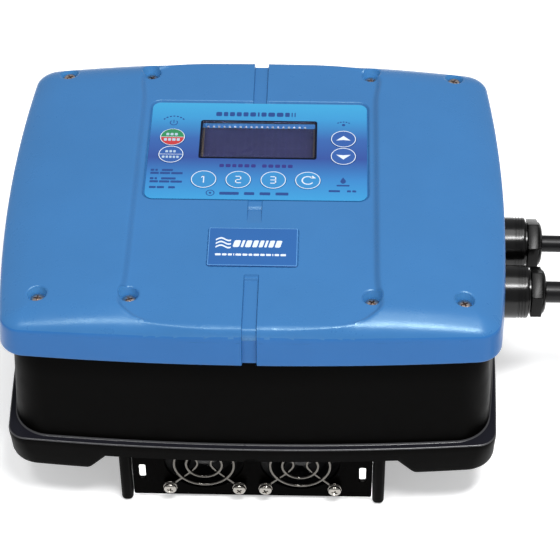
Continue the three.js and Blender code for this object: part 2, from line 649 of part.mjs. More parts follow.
// ---------------------------------------------------------------- wall bracket
function wallBracket() {
  const plate = slab(roundedRectangle(-45, 45, -45, 45, 4), 0, 2, 3);
  const lips = [-1, 1].map((side) =>
    block(...(side < 0 ? [-54.9, -42] : [42, 54.9]), -30, 30, 0, 2));
  const hooks = [-1, 1].map((side) => block(...(side < 0 ? [-54.9, -52.9] : [52.9, 54.9]), -30, 30, 0, 7));
  const keyholes = [-28, 28].flatMap((x) => [
    rod('z', [x, 20], -1, 3, 4.2, 16),
    block(x - 2.2, x + 2.2, 20, 30, -1, 3),
  ]);
  return cut(union([plate, ...lips, ...hooks]), keyholes);
}

// ---------------------------------------------------------------- glands and cables
function glands() {
  GLANDS.forEach(({ name, y }) => {
    const sleeve = facingX(turned([
      [0, -14], [7.8, -14], [7.8, GAP], [12.3, GAP], [12.3, 10.6], [11.7, 10.9], [11.7, 11.4], [12.3, 11.7],
      [12.3, 13.2], [11.4, 14.4], [10.2, 14.4], [10.2, 15.2], [0, 15.2],
    ], 20));
    addMesh(`gland_sleeve_${name}`, sleeve, MATERIAL.black, [GLAND_SEAT_X, y, GLAND_Z]);
    const length = GLAND_NUT_END_X - GLAND_SLEEVE_END_X - 1.1;
    const hex = facingX(new THREE.CylinderGeometry(12.3, 12.3, length - 1.6, 6));
    const dome = facingX(new THREE.CylinderGeometry(7.2, 10.6, 1.7, 20));
    hex.translate((length - 1.6) / 2, 0, 0);
    dome.translate(length - 0.85, 0, 0);
    const nut = union([solid(hex), solid(dome)]);
    addMesh(`gland_nut_${name}`, nut, MATERIAL.black, [GLAND_NUT_END_X - length, y, GLAND_Z]);
  });
}

// Cable centre lines from the gland to the coil: straight out, down to the surface, along it.
const CABLE_ROUTES = {
  motor: [
    [134.8, 14, 70], [150, 14, 70], [166, 13.9, 68.6], [180, 13.6, 63], [192, 13.3, 53], [202, 13.1, 41],
    [211, 12.9, 28], [221, 12.9, 16.5], [233, 13, 8], [249, 13, 4.3],
  ],
  supply: [
    [134.8, -18.5, 70], [150, -18.5, 70], [166, -17.8, 68.4], [180, -16.4, 62.8], [192, -14.6, 53],
    [202, -12.9, 41.5], [211, -11.3, 29], [221, -9.9, 17.8], [232, -8.9, 9.2], [243.6, -8.5, 5.2],
  ],
};

// The outer shape of a neat coil two turns wide and two turns high.
function coilRing(turnRadius, cable) {
  const inner = turnRadius - cable + 0.1;
  const outer = turnRadius + cable - 0.1;
  const soft = cable * 0.35;
  const top = 2 * cable - 0.3;
  return facingZ(turned([
    [inner + soft, 0], [outer - soft, 0], [outer, soft], [outer, top - soft], [outer - soft, top],
    [inner + soft, top], [inner, top - soft], [inner, soft], [inner + soft, 0],
  ], 32));
}

// Mains plug: tail, round body and two pins, lying along -X from its tail.
function supplyPlug() {
  const body = turned([
    [0, 0], [6.5, 0], [8.5, 14], [13, 17], [17.5, 21], [17.8, 42], [17, 43], [0, 43],
  ], 20).rotateZ(Math.PI / 2);
  const pins = [-9.5, 9.5].map((y) => rod('x', [y, 0], -61, -42, 2.4, 10));
  return union([solid(body), ...pins]);
}

// Inline socket for the pump's lead, with a screw collar and three contact holes.
function motorSocket() {
  const body = turned([
    [0, 0], [5.5, 0], [7.5, 14], [11, 16], [13.5, 18], [13.5, 34], [15, 35], [15, 52], [14, 53], [0, 53],
  ], 20).rotateZ(Math.PI / 2);
  const holes = [0, 1, 2].map((i) => {
    const angle = (i * 2 * Math.PI) / 3 + Math.PI / 2;
    return rod('x', [5 * Math.cos(angle), 5 * Math.sin(angle)], -60, -45, 1.6, 8);
  });
  return cut(solid(body), holes);
}

function cables() {
  GLANDS.forEach(({ name, cable }) => {
    const coil = COILS[name];
    const places = CABLE_ROUTES[name].map((point) => new THREE.Vector3(...point));
    const curve = new THREE.CatmullRomCurve3(places);
    addMesh(`cable_${name}`, tube(curve, cable / 2, 14, 10), MATERIAL.cable);
    addMesh(`cable_coil_${name}`, coilRing(coil.turnRadius, cable), MATERIAL.cable, [coil.x, coil.y, 0]);
  });
  const { motor, supply } = COILS;
  const tailY = ({ y, side, turnRadius }, cable) => y - side * (turnRadius + cable / 2);
  addMesh('supply_plug', supplyPlug(), MATERIAL.black, [supply.x - 34, tailY(supply, 10), 18]);
  addMesh('motor_socket', motorSocket(), MATERIAL.black, [motor.x - 28.5, tailY(motor, 8), 15.2]);
}

// ---------------------------------------------------------------- assembly
addMesh('front_cover', frontCover(), MATERIAL.blue);
addMesh('rear_base', rearBase(), MATERIAL.black);
addMesh('cover_seal', coverSeal(), MATERIAL.rubber);
addMesh('overlay_film', overlayFilm(), MATERIAL.film);
addMesh('display_window', displayWindow(), MATERIAL.clear);
addMesh('lcd_module', lcdModule(), MATERIAL.rubber);
addMesh('display_board', displayBoard(), MATERIAL.board);
addMesh('badge_plate', badgePlate(), MATERIAL.badge);
BUTTONS.forEach(([name, x, y]) => addMesh(name, button(), MATERIAL.film, [x, y, 0]));
coverScrews();
electronics();
fans();
addMesh('outlet_grille', outletGrille(), MATERIAL.black);
addMesh('wall_bracket', wallBracket(), MATERIAL.steel);
glands();
cables();

export default group;
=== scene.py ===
"""A wall-hung pool pump speed controller: blue cover with keypad and display, black base, fans, glands and leads."""

import json
from math import atan, ceil, cos, dist, hypot, pi, radians, sin, tan

import bmesh
import bpy
import numpy as np
from mathutils import Matrix, Vector
from mathutils.geometry import delaunay_2d_cdt


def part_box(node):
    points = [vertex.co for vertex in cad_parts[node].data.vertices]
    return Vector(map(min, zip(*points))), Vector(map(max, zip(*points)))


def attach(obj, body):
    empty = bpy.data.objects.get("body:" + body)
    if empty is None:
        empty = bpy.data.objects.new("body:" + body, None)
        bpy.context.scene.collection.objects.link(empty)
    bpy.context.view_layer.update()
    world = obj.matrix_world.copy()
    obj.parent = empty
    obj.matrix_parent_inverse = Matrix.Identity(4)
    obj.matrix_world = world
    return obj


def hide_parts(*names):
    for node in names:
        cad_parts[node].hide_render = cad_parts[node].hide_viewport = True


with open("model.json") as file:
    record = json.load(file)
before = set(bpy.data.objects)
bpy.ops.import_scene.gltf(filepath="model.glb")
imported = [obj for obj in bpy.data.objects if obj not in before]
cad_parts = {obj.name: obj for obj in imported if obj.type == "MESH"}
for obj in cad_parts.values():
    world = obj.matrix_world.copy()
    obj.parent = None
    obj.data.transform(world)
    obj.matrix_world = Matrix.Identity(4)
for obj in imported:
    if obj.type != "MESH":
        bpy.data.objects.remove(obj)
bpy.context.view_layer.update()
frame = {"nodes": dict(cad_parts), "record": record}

MM = 0.001
ROOT = "housing"

# ---------------------------------------------------------------- numbers shared by several pieces, in millimetres
COVER = {"half_x": 110.2, "half_y": 89.3, "bow_x": 4.3, "bow_y": 4.0, "radius": 12.0}
FLANGE = {"half_x": 110.8, "half_y": 91.2, "bow_x": 1.8, "bow_y": 4.7, "radius": 9.0}
WALL = {"half_x": 105.0, "half_y": 86.0, "bow_x": 4.0, "bow_y": 3.8, "radius": 14.0}
WALL_LEAN = 2.9  # how much wider the wall is at its foot than at its top
WALL_TOP = 98.0
RAIL_STARTS = (-61.0, 55.5)
RAIL_WIDTH = 5.5
WALL_FOOT = 44.0
PANEL_Z = 116.5
CREST_Z = 119.3
RIM_Z = 96.3
GROOVE_HALF = 3.2
GROOVE_DEPTH = 2.0
APRON_SHARE = 0.85  # how much of its depth the groove keeps on the apron
WELL_RADIUS = 4.4
FILM_RADIUS = 4.0
BADGE_RADIUS = 1.5
WINDOW_RADIUS = 1.2


def node_mm(node):
    """A CAD node's lowest and highest corners, in millimetres."""
    return [np.array(corner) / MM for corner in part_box(node)]


def middle(node):
    low, high = node_mm(node)
    return (low + high) / 2


def node_names(start):
    return sorted(n for n in frame["nodes"] if n.startswith(start))


def body_of(node):
    """The body that a CAD node belongs to."""
    for body, nodes in frame["record"]["behaviour"]["bodies"].items():
        if node in nodes:
            return body
    return ROOT


FILM = FILM_LOW, FILM_HIGH = node_mm("overlay_film")
WINDOW = node_mm("display_window")
BADGE = node_mm("badge_plate")
FILM_TOP = FILM_HIGH[2]
BUTTONS = {n: middle(n) for n in node_names("button_")}
BUTTON_LOW, BUTTON_HIGH = node_mm("button_set")
BUTTON_RADIUS = (BUTTON_HIGH[1] - BUTTON_LOW[1]) / 2
BUTTON_TOP = BUTTON_HIGH[2]
SCREWS = {n: middle(n) for n in node_names("cover_screw_")}
SCREW_HEAD_Z = node_mm("cover_screw_lower_outer_left")[1][2]
WELL_FLOOR_Z = SCREW_HEAD_Z - 2.9
GLAND_Z = 70.0
GLAND_Y = {n: float(middle(f"gland_sleeve_{n}")[1]) for n in ("motor", "supply")}


# ---------------------------------------------------------------- camera, lights and floor
def placed(name, data):
    """A new object in the scene."""
    made = bpy.data.objects.new(name, data)
    bpy.context.scene.collection.objects.link(made)
    return made


def make_camera():
    """Looks down at the unit's lower end at about 45 degrees, slightly from the right."""
    data = bpy.data.cameras.new("camera")
    data.sensor_width = 36.0
    data.lens = 140.5
    data.clip_start = 0.05
    data.clip_end = 20.0
    yaw, tilt, roll = (Matrix.Rotation(radians(a), 4, axis) for a, axis in ((1.8, "Z"), (45.3, "X"), (-0.45, "Z")))
    camera = placed("camera", data)
    camera.matrix_world = Matrix.Translation((0.03397, -0.73974, 0.78934)) @ (yaw @ tilt @ roll)
    bpy.context.scene.camera = camera


def area_light(name, place, target, size, power):
    """A soft box at a place, facing a target."""
    data = bpy.data.lights.new(name, "AREA")
    data.shape = "RECTANGLE"
    data.size, data.size_y = size
    data.energy = power
    light = placed(name, data)
    light.location = place
    light.rotation_euler = (Vector(target) - Vector(place)).to_track_quat("-Z", "Y").to_euler()


def make_stage():
    """A plain pale floor and soft boxes: the key high in front and to the right, a weaker one to the left.

    Two tiny lamps under the unit light the floor that shows through the fan plate's windows.
    """
    scene = bpy.context.scene
    scene.view_settings.view_transform = "Standard"
    scene.world = bpy.data.worlds.new("world")
    scene.world.use_nodes = True
    background = scene.world.node_tree.nodes["Background"].inputs
    background["Color"].default_value = (0.97, 0.98, 1.0, 1)
    background["Strength"].default_value = 0.42
    area_light("key", (0.27, -0.46, 1.28), (0, -0.05, 0.1), (0.46, 0.17), 12)
    area_light("side_strip", (-0.33, -0.46, 1.28), (0, -0.05, 0.1), (0.3, 0.2), 3.6)
    area_light("overhead", (0.36, 0.0, 1.8), (0, 0, 0.05), (1.0, 0.8), 10.5)
    for x in (-0.049, 0.049):
        area_light("under", (x, -0.071, 0.044), (x, -0.071, 0), (0.01, 0.02), 0.03)
    mesh = bpy.data.meshes.new("floor")
    mesh.from_pydata([(-4, -4, 0), (4, -4, 0), (4, 4, 0), (-4, 4, 0)], [], [(0, 1, 2, 3)])
    placed("floor", painted(mesh, "floor"))


# ---------------------------------------------------------------- materials
def shader_of(material):
    return material.node_tree.nodes["Principled BSDF"]


def node_material(name, color, roughness, metallic=0.0, **sockets):
    material = bpy.data.materials.new(name)
    material.use_nodes = True
    inputs = shader_of(material).inputs
    inputs["Base Color"].default_value = (*color, 1)
    inputs["Roughness"].default_value = roughness
    inputs["Metallic"].default_value = metallic
    for socket, value in sockets.items():
        inputs[socket.replace("_", " ")].default_value = value
    return material


def add_node(material, kind, **settings):
    made = material.node_tree.nodes.new(kind)
    for key, value in settings.items():
        if key in made.inputs:
            made.inputs[key].default_value = value
        else:
            setattr(made, key, value)
    return made


def link(material, source, target):
    material.node_tree.links.new(source, target)


def noise(material, scale, detail, rough=0.55, stretch=None):
    """A noise texture in object space, scale in cycles a metre."""
    source = add_node(material, "ShaderNodeTexCoord").outputs["Object"]
    texture = add_node(material, "ShaderNodeTexNoise", Scale=scale, Detail=detail, Roughness=rough)
    if stretch:
        mapping = add_node(material, "ShaderNodeMapping", Scale=stretch)
        link(material, source, mapping.inputs["Vector"])
        source = mapping.outputs["Vector"]
    link(material, source, texture.inputs["Vector"])
    return texture.outputs["Fac"]


NOISE_SPAN = (0.3, 0.7)  # where nearly all of a noise texture's values lie


def vary(material, source, socket, low, high):
    """Lets a texture move one of the shader's sockets between two values or colours."""
    if isinstance(low, tuple):
        spread = add_node(material, "ShaderNodeValToRGB")
        for stop, position, color in zip(spread.color_ramp.elements, NOISE_SPAN, (low, high)):
            stop.position = position
            stop.color = (*color, 1)
    else:
        spread = add_node(material, "ShaderNodeMapRange")
        for key, value in zip(("From Min", "From Max", "To Min", "To Max"), (*NOISE_SPAN, low, high)):
            spread.inputs[key].default_value = value
    link(material, source, spread.inputs[0])
    link(material, spread.outputs[0], shader_of(material).inputs[socket])


def bump(material, *layers):
    """Stacks bumps: each layer is (height source, strength, depth in metres)."""
    previous = None
    for source, strength, depth in layers:
        made = add_node(material, "ShaderNodeBump", Strength=strength, Distance=depth)
        link(material, source, made.inputs["Height"])
        if previous:
            link(material, previous.outputs["Normal"], made.inputs["Normal"])
        previous = made
    link(material, previous.outputs["Normal"], shader_of(material).inputs["Normal"])


def moulded(name, color, roughness, grain, relief, strength, shift, specular=0.5, **sockets):
    """Moulded plastic: a fine texture (relief in millimetres), broad tone drift and patchy gloss."""
    material = node_material(name, color, roughness, Specular_IOR_Level=specular, **sockets)
    dark = tuple(c * (1 - shift) for c in color)
    light = tuple(min(1, c * (1 + shift)) for c in color)
    vary(material, noise(material, 26, 3), "Base Color", dark, light)
    vary(material, noise(material, 160, 5), "Roughness", roughness * 0.88, roughness * 1.14)
    bump(
        material,
        (noise(material, grain, 2, 0.6), strength, relief * MM),
        (noise(material, grain / 9, 3, 0.5), strength * 0.3, relief * 3 * MM),
    )
    return material


def metal(name, color, roughness, stretch=(1, 1, 1), grain=900, relief=0.02, strength=0.2):
    """Metal with fine scratches, drawn out along one axis where stretch says so."""
    material = node_material(name, color, roughness, 1.0)
    vary(material, noise(material, 300, 4, 0.6, stretch), "Roughness", roughness * 0.75, roughness * 1.35)
    vary(material, noise(material, 60, 3), "Base Color", tuple(c * 0.9 for c in color), color)
    bump(material, (noise(material, grain, 3, 0.6, stretch), strength, relief * MM))
    return material


FILM_SHADES = [
    (0.0, (0.035, 0.25, 0.50)), (0.20, (0.032, 0.18, 0.43)), (0.42, (0.026, 0.065, 0.25)),
    (0.62, (0.030, 0.10, 0.31)), (0.84, (0.035, 0.24, 0.48)), (1.0, (0.040, 0.29, 0.52)),
]


def gradient_film():
    """Printed film: sky blue at its ends and deep blue through the middle."""
    material = node_material("film", (0.05, 0.35, 0.75), 0.36, Specular_IOR_Level=0.3)
    place = add_node(material, "ShaderNodeTexCoord")
    split = add_node(material, "ShaderNodeSeparateXYZ")
    link(material, place.outputs["Object"], split.inputs["Vector"])
    spread = add_node(material, "ShaderNodeMapRange")
    spread.inputs["From Min"].default_value = FILM_LOW[1] * MM
    spread.inputs["From Max"].default_value = FILM_HIGH[1] * MM
    link(material, split.outputs["Y"], spread.inputs["Value"])
    ramp = add_node(material, "ShaderNodeValToRGB")
    stops = ramp.color_ramp.elements
    first, *inner, last = FILM_SHADES
    for position, color in inner:
        stops.new(position).color = (*color, 1)
    stops[0].color = (*first[1], 1)
    stops[len(stops) - 1].color = (*last[1], 1)
    link(material, spread.outputs["Result"], ramp.inputs["Fac"])
    link(material, ramp.outputs["Color"], shader_of(material).inputs["Base Color"])
    vary(material, noise(material, 220, 4), "Roughness", 0.3, 0.42)
    bump(material, (noise(material, 1500, 2), 0.12, 0.03 * MM))
    return material


def screen_material():
    """Unlit display glass: dusky violet-grey with faint rows of dark cells."""
    material = node_material("screen", (0.03, 0.033, 0.1), 0.3, Specular_IOR_Level=0.15)
    place = add_node(material, "ShaderNodeTexCoord")
    cells = add_node(material, "ShaderNodeTexBrick", Scale=1.0)
    cells.offset = 0.0
    for key, value in {
        "Brick Width": 0.0032, "Row Height": 0.0055, "Mortar Size": 0.0004,
        "Color1": (0.030, 0.033, 0.098, 1), "Color2": (0.034, 0.036, 0.106, 1), "Mortar": (0.040, 0.042, 0.118, 1),
    }.items():
        cells.inputs[key].default_value = value
    link(material, place.outputs["Object"], cells.inputs["Vector"])
    link(material, cells.outputs["Color"], shader_of(material).inputs["Base Color"])
    vary(material, noise(material, 90, 4), "Roughness", 0.25, 0.4)
    return material


def clear_material():
    """The display's clear window."""
    material = node_material("clear", (0.86, 0.88, 0.96), 0.04, Transmission_Weight=1.0, IOR=1.3)
    vary(material, noise(material, 120, 4), "Roughness", 0.02, 0.07)
    bump(material, (noise(material, 70, 2), 0.05, 0.05 * MM))
    return material


# colour, roughness, grain in cycles a metre, its relief in millimetres and strength, drift of tone, specular level
PLASTICS = {
    "floor": ((0.9, 0.9, 0.9), 0.7, 60, 0.4, 0.05, 0.01),
    "cover": ((0.034, 0.142, 0.345), 0.29, 1500, 0.09, 0.5, 0.03),
    # apron: the cover's blue made darker and less glossy on the steep skirt, painted shade
    "apron_painted_shade": ((0.02, 0.122, 0.345), 0.32, 1500, 0.07, 0.45, 0.03, 0.18),
    # well: the cover's blue made lighter inside the screw wells, painted light where the wells fall into shade
    "painted_lit_well": ((0.09, 0.34, 0.7), 0.4, 1500, 0.07, 0.3, 0.03, 0.2),
    "badge": ((0.021, 0.1, 0.3), 0.3, 1500, 0.03, 0.12, 0.03, 0.3),
    "badge_edge": ((0.1, 0.28, 0.55), 0.3, 1500, 0.03, 0.12, 0.03, 0.3),
    "black": ((0.0006, 0.0005, 0.0004), 0.42, 1300, 0.02, 0.1, 0.1, 0.022),
    # plate: a darker, less glossy copy of the black for the fan plate set back under the skirt, painted shade
    "plate": ((0.0004, 0.0003, 0.0002), 0.3, 1300, 0.02, 0.1, 0.1, 0.01),
    # ledge: a lighter black on the flange's upward face, painted light
    "ledge_painted_light": ((0.01, 0.01, 0.014), 0.3, 1300, 0.02, 0.1, 0.1, 0.1),
    # edge: a lighter, glossier black for the wall's foot and the flange's nosing, painted highlight lines
    "edge": ((0.03, 0.03, 0.033), 0.3, 1300, 0.02, 0.1, 0.1, 0.6),
    "fan": ((0.006, 0.006, 0.0065), 0.42, 1800, 0.04, 0.3, 0.1),
    "gland": ((0.0015, 0.0014, 0.0014), 0.2, 1600, 0.02, 0.12, 0.1, 0.36),
    "nut": ((0.0025, 0.0024, 0.0024), 0.26, 1600, 0.02, 0.12, 0.1, 0.12),
    "connector": ((0.014, 0.014, 0.015), 0.5, 1500, 0.05, 0.35, 0.08),
    "cable": ((0.005, 0.005, 0.0055), 0.34, 1400, 0.04, 0.25, 0.06, 0.22),
    "seal": ((0.02, 0.02, 0.02), 0.8, 2200, 0.1, 0.5, 0.1),
    "key": ((0.026, 0.085, 0.29), 0.36, 1500, 0.03, 0.12, 0.04, 0.3),
    "key_low": ((0.032, 0.2, 0.44), 0.36, 1500, 0.03, 0.12, 0.04, 0.3),
    "white": ((0.6, 0.66, 0.74), 0.4, 1500, 0.02, 0.1, 0.03),
    "pale": ((0.36, 0.46, 0.56), 0.4, 1500, 0.02, 0.1, 0.03),
    "green": ((0.02, 0.2, 0.075), 0.4, 1500, 0.02, 0.1, 0.04),
    "red": ((0.42, 0.03, 0.035), 0.4, 1500, 0.02, 0.1, 0.04),
    "navy": ((0.018, 0.055, 0.2), 0.4, 1500, 0.02, 0.1, 0.04, 0.2),
    "violet": ((0.03, 0.03, 0.17), 0.4, 1500, 0.02, 0.1, 0.04, 0.2),
    "pin": ((0.95, 0.95, 0.95), 0.3, 1500, 0.02, 0.1, 0.03),
    "amber": ((0.11, 0.075, 0.05), 0.45, 1200, 0.03, 0.15, 0.15),
    "ink": ((0.004, 0.005, 0.014), 0.35, 1500, 0.02, 0.1, 0.1, 0.08),
    # the display pocket's far wall: a glowing blue, painted light for the lit wall
    "painted_glow_wall": ((0.1, 0.36, 0.75), 0.25, 1500, 0.03, 0.15, 0.05, 0.7),
    "part": ((0.02, 0.02, 0.022), 0.4, 1800, 0.04, 0.25, 0.08),
    "board": ((0.012, 0.1, 0.035), 0.35, 700, 0.05, 0.3, 0.12),
    "terminal": ((0.025, 0.25, 0.09), 0.45, 1500, 0.04, 0.25, 0.06),
}
MORE_SOCKETS = {
    "floor": {"Emission_Color": (1, 1, 1, 1), "Emission_Strength": 0.4},
    "cover": {"Specular_Tint": (0.7, 0.97, 1.0, 1)},
    # the pocket's far wall glows, painted light with no lamp behind it
    "painted_glow_wall": {"Emission_Color": (0.03, 0.18, 0.45, 1), "Emission_Strength": 0.5},
}
# colour, roughness, and where they differ from plain metal: stretch, grain, relief and strength
METALS = {
    "steel": ((0.36, 0.34, 0.31), 0.2),
    # a lighter, browner steel for the cover screws: partly their own tone, partly painted light for heads in the
    # wells' shade
    "painted_lit_steel": ((0.58, 0.5, 0.46), 0.3),
    "chrome": ((0.13, 0.122, 0.11), 0.12, (1, 1, 1), 900, 0.02, 0.08),
    "aluminium": ((0.62, 0.63, 0.65), 0.36, (1, 0.04, 1), 1200, 0.04, 0.35),
    "bracket": ((0.55, 0.56, 0.57), 0.4, (1, 0.08, 1), 700, 0.03, 0.3),
    "copper": ((0.62, 0.27, 0.12), 0.3, (1, 1, 0.1), 900, 0.06, 0.4),
    "brass": ((0.62, 0.47, 0.2), 0.25),
}
MATERIALS = {name: moulded(name, *row, **MORE_SOCKETS.get(name, {})) for name, row in PLASTICS.items()}
MATERIALS |= {name: metal(name, *row) for name, row in METALS.items()}
MATERIALS |= {"film": gradient_film(), "screen": screen_material(), "clear": clear_material()}
make_camera()


# ---------------------------------------------------------------- mesh helpers
def show(name, mesh, material, replaces=(), body=ROOT, *, sharp):
    """Makes a mesh a piece of the object: smooth except at sharp edges, riding on its body.

    The material is for a mesh that has none of its own yet.
    """
    mesh.name = name
    piece = placed(name, mesh)
    if not mesh.materials:
        painted(mesh, material)
    mesh.shade_smooth()
    mesh.set_sharp_from_angle(angle=radians(sharp))
    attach(piece, body)
    if replaces:
        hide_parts(*replaces)
    return piece


def mesh_of(points, faces):
    """A mesh from points in millimetres."""
    mesh = bpy.data.meshes.new("mesh")
    mesh.from_pydata([tuple(float(c) * MM for c in p) for p in points], [], [tuple(map(int, f)) for f in faces])
    mesh.update()
    return mesh


def from_bmesh(made):
    bmesh.ops.recalc_face_normals(made, faces=made.faces)
    mesh = bpy.data.meshes.new("mesh")
    made.to_mesh(mesh)
    made.free()
    return mesh


def joined(meshes):
    """One mesh from several, each keeping its own material."""
    made = bmesh.new()
    materials = []
    for mesh in meshes:
        start = len(made.faces)
        made.from_mesh(mesh)
        made.faces.ensure_lookup_table()
        for face in made.faces[start:]:
            face.material_index += len(materials)
        materials += list(mesh.materials)
    whole = bpy.data.meshes.new("mesh")
    made.to_mesh(whole)
    made.free()
    for material in materials:
        whole.materials.append(material)
    return whole


def painted(mesh, *materials):
    for material in materials:
        mesh.materials.append(MATERIALS[material])
    return mesh


def all_painted(meshes, material):
    return [painted(mesh, material) for mesh in meshes]


def moved(mesh, matrix):
    mesh.transform(matrix)
    return mesh


def shift(x, y, z):
    return Matrix.Translation((x * MM, y * MM, z * MM))


def meshed(curve):
    """A curve's mesh; the curve itself is dropped."""
    holder = bpy.data.objects.new("holder", curve)
    mesh = bpy.data.meshes.new_from_object(holder)
    bpy.data.objects.remove(holder)
    bpy.data.curves.remove(curve)
    return mesh


def lofted(rings):
    """Quads through closed rings of points, all of one length."""
    count = len(rings[0])
    faces = [
        (k * count + i, k * count + (i + 1) % count, (k + 1) * count + (i + 1) % count, (k + 1) * count + i)
        for k in range(len(rings) - 1)
        for i in range(count)
    ]
    return mesh_of(np.concatenate(rings), faces)


AXIS_TURNS = {"Z": Matrix(), "X": Matrix.Rotation(pi / 2, 4, "Y"), "Y": Matrix.Rotation(pi / 2, 4, "X")}


def turned_mesh(profile, axis="Z", segments=64, at=(0, 0, 0)):
    """A turned shape: profile points are (radius, height) in millimetres, open at the axis."""
    angles = [2 * pi * i / segments for i in range(segments)]
    made = bmesh.new()
    made.from_mesh(lofted([[(r * cos(angle), r * sin(angle), h) for angle in angles] for r, h in profile]))
    bmesh.ops.remove_doubles(made, verts=made.verts, dist=1e-6)
    made.transform(AXIS_TURNS[axis])
    return moved(from_bmesh(made), shift(*at))


def soft_box(low, high, radius, segments):
    """A box with rounded edges, from corner to corner in millimetres."""
    made = bmesh.new()
    bmesh.ops.create_cube(made, size=1)
    low, high = Vector(low), Vector(high)
    made.transform(Matrix.Translation((low + high) / 2 * MM) @ Matrix.Diagonal((*((high - low) * MM), 1)))
    bmesh.ops.bevel(made, geom=made.edges[:], offset=radius * MM, segments=segments, profile=0.5, affect="EDGES")
    return from_bmesh(made)


def flat_plate(outlines, low, high, bevel, plane="XY"):
    """A plate with holes, from closed outlines of (x, y) in millimetres, between two heights.

    In plane XZ the outlines are (x, z) and the heights run along Y.
    """
    curve = bpy.data.curves.new("plate", "CURVE")
    curve.dimensions = "2D"
    curve.fill_mode = "BOTH"
    for outline in outlines:
        spline = curve.splines.new("POLY")
        spline.points.add(len(outline) - 1)
        for point, (x, y) in zip(spline.points, outline):
            point.co = (x * MM, y * MM, 0, 1)
        spline.use_cyclic_u = True
    curve.extrude = ((high - low) / 2 - bevel) * MM
    curve.bevel_depth = bevel * MM
    curve.bevel_resolution = 2
    curve.offset = -bevel * MM
    mesh = moved(meshed(curve), shift(0, 0, (low + high) / 2))
    if plane == "XZ":
        mesh.transform(Matrix(((1, 0, 0, 0), (0, 0, 1, 0), (0, 1, 0, 0), (0, 0, 0, 1))))
        mesh.flip_normals()
    return mesh


def circle(x, y, radius, count, start=0.0, end=2 * pi):
    """Points on a circle, or on an arc with both its ends."""
    full = abs(end - start - 2 * pi) < 1e-6
    angles = [start + (end - start) * i / (count if full else count - 1) for i in range(count)]
    return [(x + radius * cos(angle), y + radius * sin(angle)) for angle in angles]


def rounded(x0, x1, y0, y1, radius, count=8):
    """A rounded rectangle's outline."""
    quarter = pi / 2
    corners = [(x1 - radius, y0 + radius, 3), (x1 - radius, y1 - radius, 0),
               (x0 + radius, y1 - radius, 1), (x0 + radius, y0 + radius, 2)]
    return [p for cx, cy, k in corners for p in circle(cx, cy, radius, count, k * quarter, (k + 1) * quarter)]


def outline_of(low, high, inset, radius, count=8):
    """A rounded outline an even distance inside a box's plan."""
    return rounded(low[0] + inset, high[0] - inset, low[1] + inset, high[1] - inset, radius, count)


def round_curve(name, points, radius, sides, cyclic=False, steps=8):
    """A smooth round curve through points in millimetres."""
    curve = bpy.data.curves.new(name, "CURVE")
    curve.dimensions = "3D"
    spline = curve.splines.new("NURBS")
    spline.points.add(len(points) - 1)
    for made, point in zip(spline.points, points):
        made.co = (*(c * MM for c in point), 1)
    spline.use_cyclic_u = cyclic
    spline.use_endpoint_u = not cyclic
    spline.order_u = 4
    spline.resolution_u = steps
    curve.bevel_depth = radius * MM
    curve.bevel_resolution = sides
    curve.use_fill_caps = True
    return curve


# ---------------------------------------------------------------- the bowed plan shared by cover, wall and flange
FINE_X = [1.4, 2.6, 2.9, 3.0, 3.08, 3.16, 3.24, 3.32, 3.4, 3.5, 3.8, 4.6, 6.5]
STOPS_X = np.array(FINE_X + list(np.arange(9, 61.1, 2.6)) + list(np.arange(62, 79.1, 0.85)))


def plan_outline(plan, inset, soften=0.0):
    """Points round a rounded rectangle whose sides and ends bow outwards, smooth at every joint.

    The ends have points at fixed places, so that the centre groove and the skirt's steps stay crisp.
    """
    half_x, half_y = plan["half_x"] - inset, plan["half_y"] - inset
    radius = max(plan["radius"] + soften - inset, 1.5)
    lean_x = atan(2 * plan["bow_x"] / (half_y - radius))
    lean_y = atan(2 * plan["bow_y"] / (half_x - radius))
    cx, cy = half_x - radius, half_y - radius
    angles = np.linspace(lean_x, pi / 2 - lean_y, 16)
    corner = np.stack([cx + radius * np.cos(angles), cy + radius * np.sin(angles)], 1)
    top_x, top_y = corner[-1]
    side_x, side_y = corner[0]
    half = np.concatenate([STOPS_X, np.linspace(STOPS_X[-1], top_x, 9)[1:-1]])
    xs = np.concatenate([half[::-1], [0.0], -half])
    top = np.stack([xs, top_y + tan(lean_y) / (2 * top_x) * (top_x**2 - xs**2)], 1)
    ys = np.linspace(side_y, -side_y, 62)[1:-1]
    left = np.stack([-side_x - tan(lean_x) / (2 * side_y) * (side_y**2 - ys**2), ys], 1)
    flip_x, flip_y = np.array([-1, 1]), np.array([1, -1])
    return np.concatenate([
        corner, top, corner[::-1] * flip_x, left, corner * -1, top[::-1] * flip_y, corner[::-1] * flip_y, left * -1,
    ])


def skin(levels, plan):
    """A wall through outlines at levels of (inset, z, soften); z may be a function of x."""
    rings = []
    for inset, z, *soften in levels:
        outline = plan_outline(plan, inset, *soften)
        heights = z(outline[:, 0]) if callable(z) else np.full(len(outline), float(z))
        rings.append(np.column_stack([outline, heights]))
    return lofted(rings)


# ---------------------------------------------------------------- front cover
def smoothstep(t):
    t = np.clip(t, 0, 1)
    return t * t * (3 - 2 * t)


RECESS_CORNERS = [
    (55.4, 0), (55.4, 40), (55.4, 62), (56.6, 70), (57.2, 77), (53.5, 81.5), (50, 85.2), (43, 88.2), (35, 90.4),
    (26, 91.8), (14, 93.2), (0, 94),
]
STEP_INNER = 2.2  # where the step up from the recess starts, inside its edge, and how wide it is
STEP_WIDTH = 3.8


def eased(line):
    """A line of corners with its corners cut three times over."""
    for _ in range(3):
        a, b = line[:-1], line[1:]
        cuts = np.stack([a * 0.75 + b * 0.25, a * 0.25 + b * 0.75], 1).reshape(-1, 2)
        line = np.concatenate([line[:1], cuts, line[-1:]])
    return line


RECESS_EDGE = eased(np.array(RECESS_CORNERS, float))


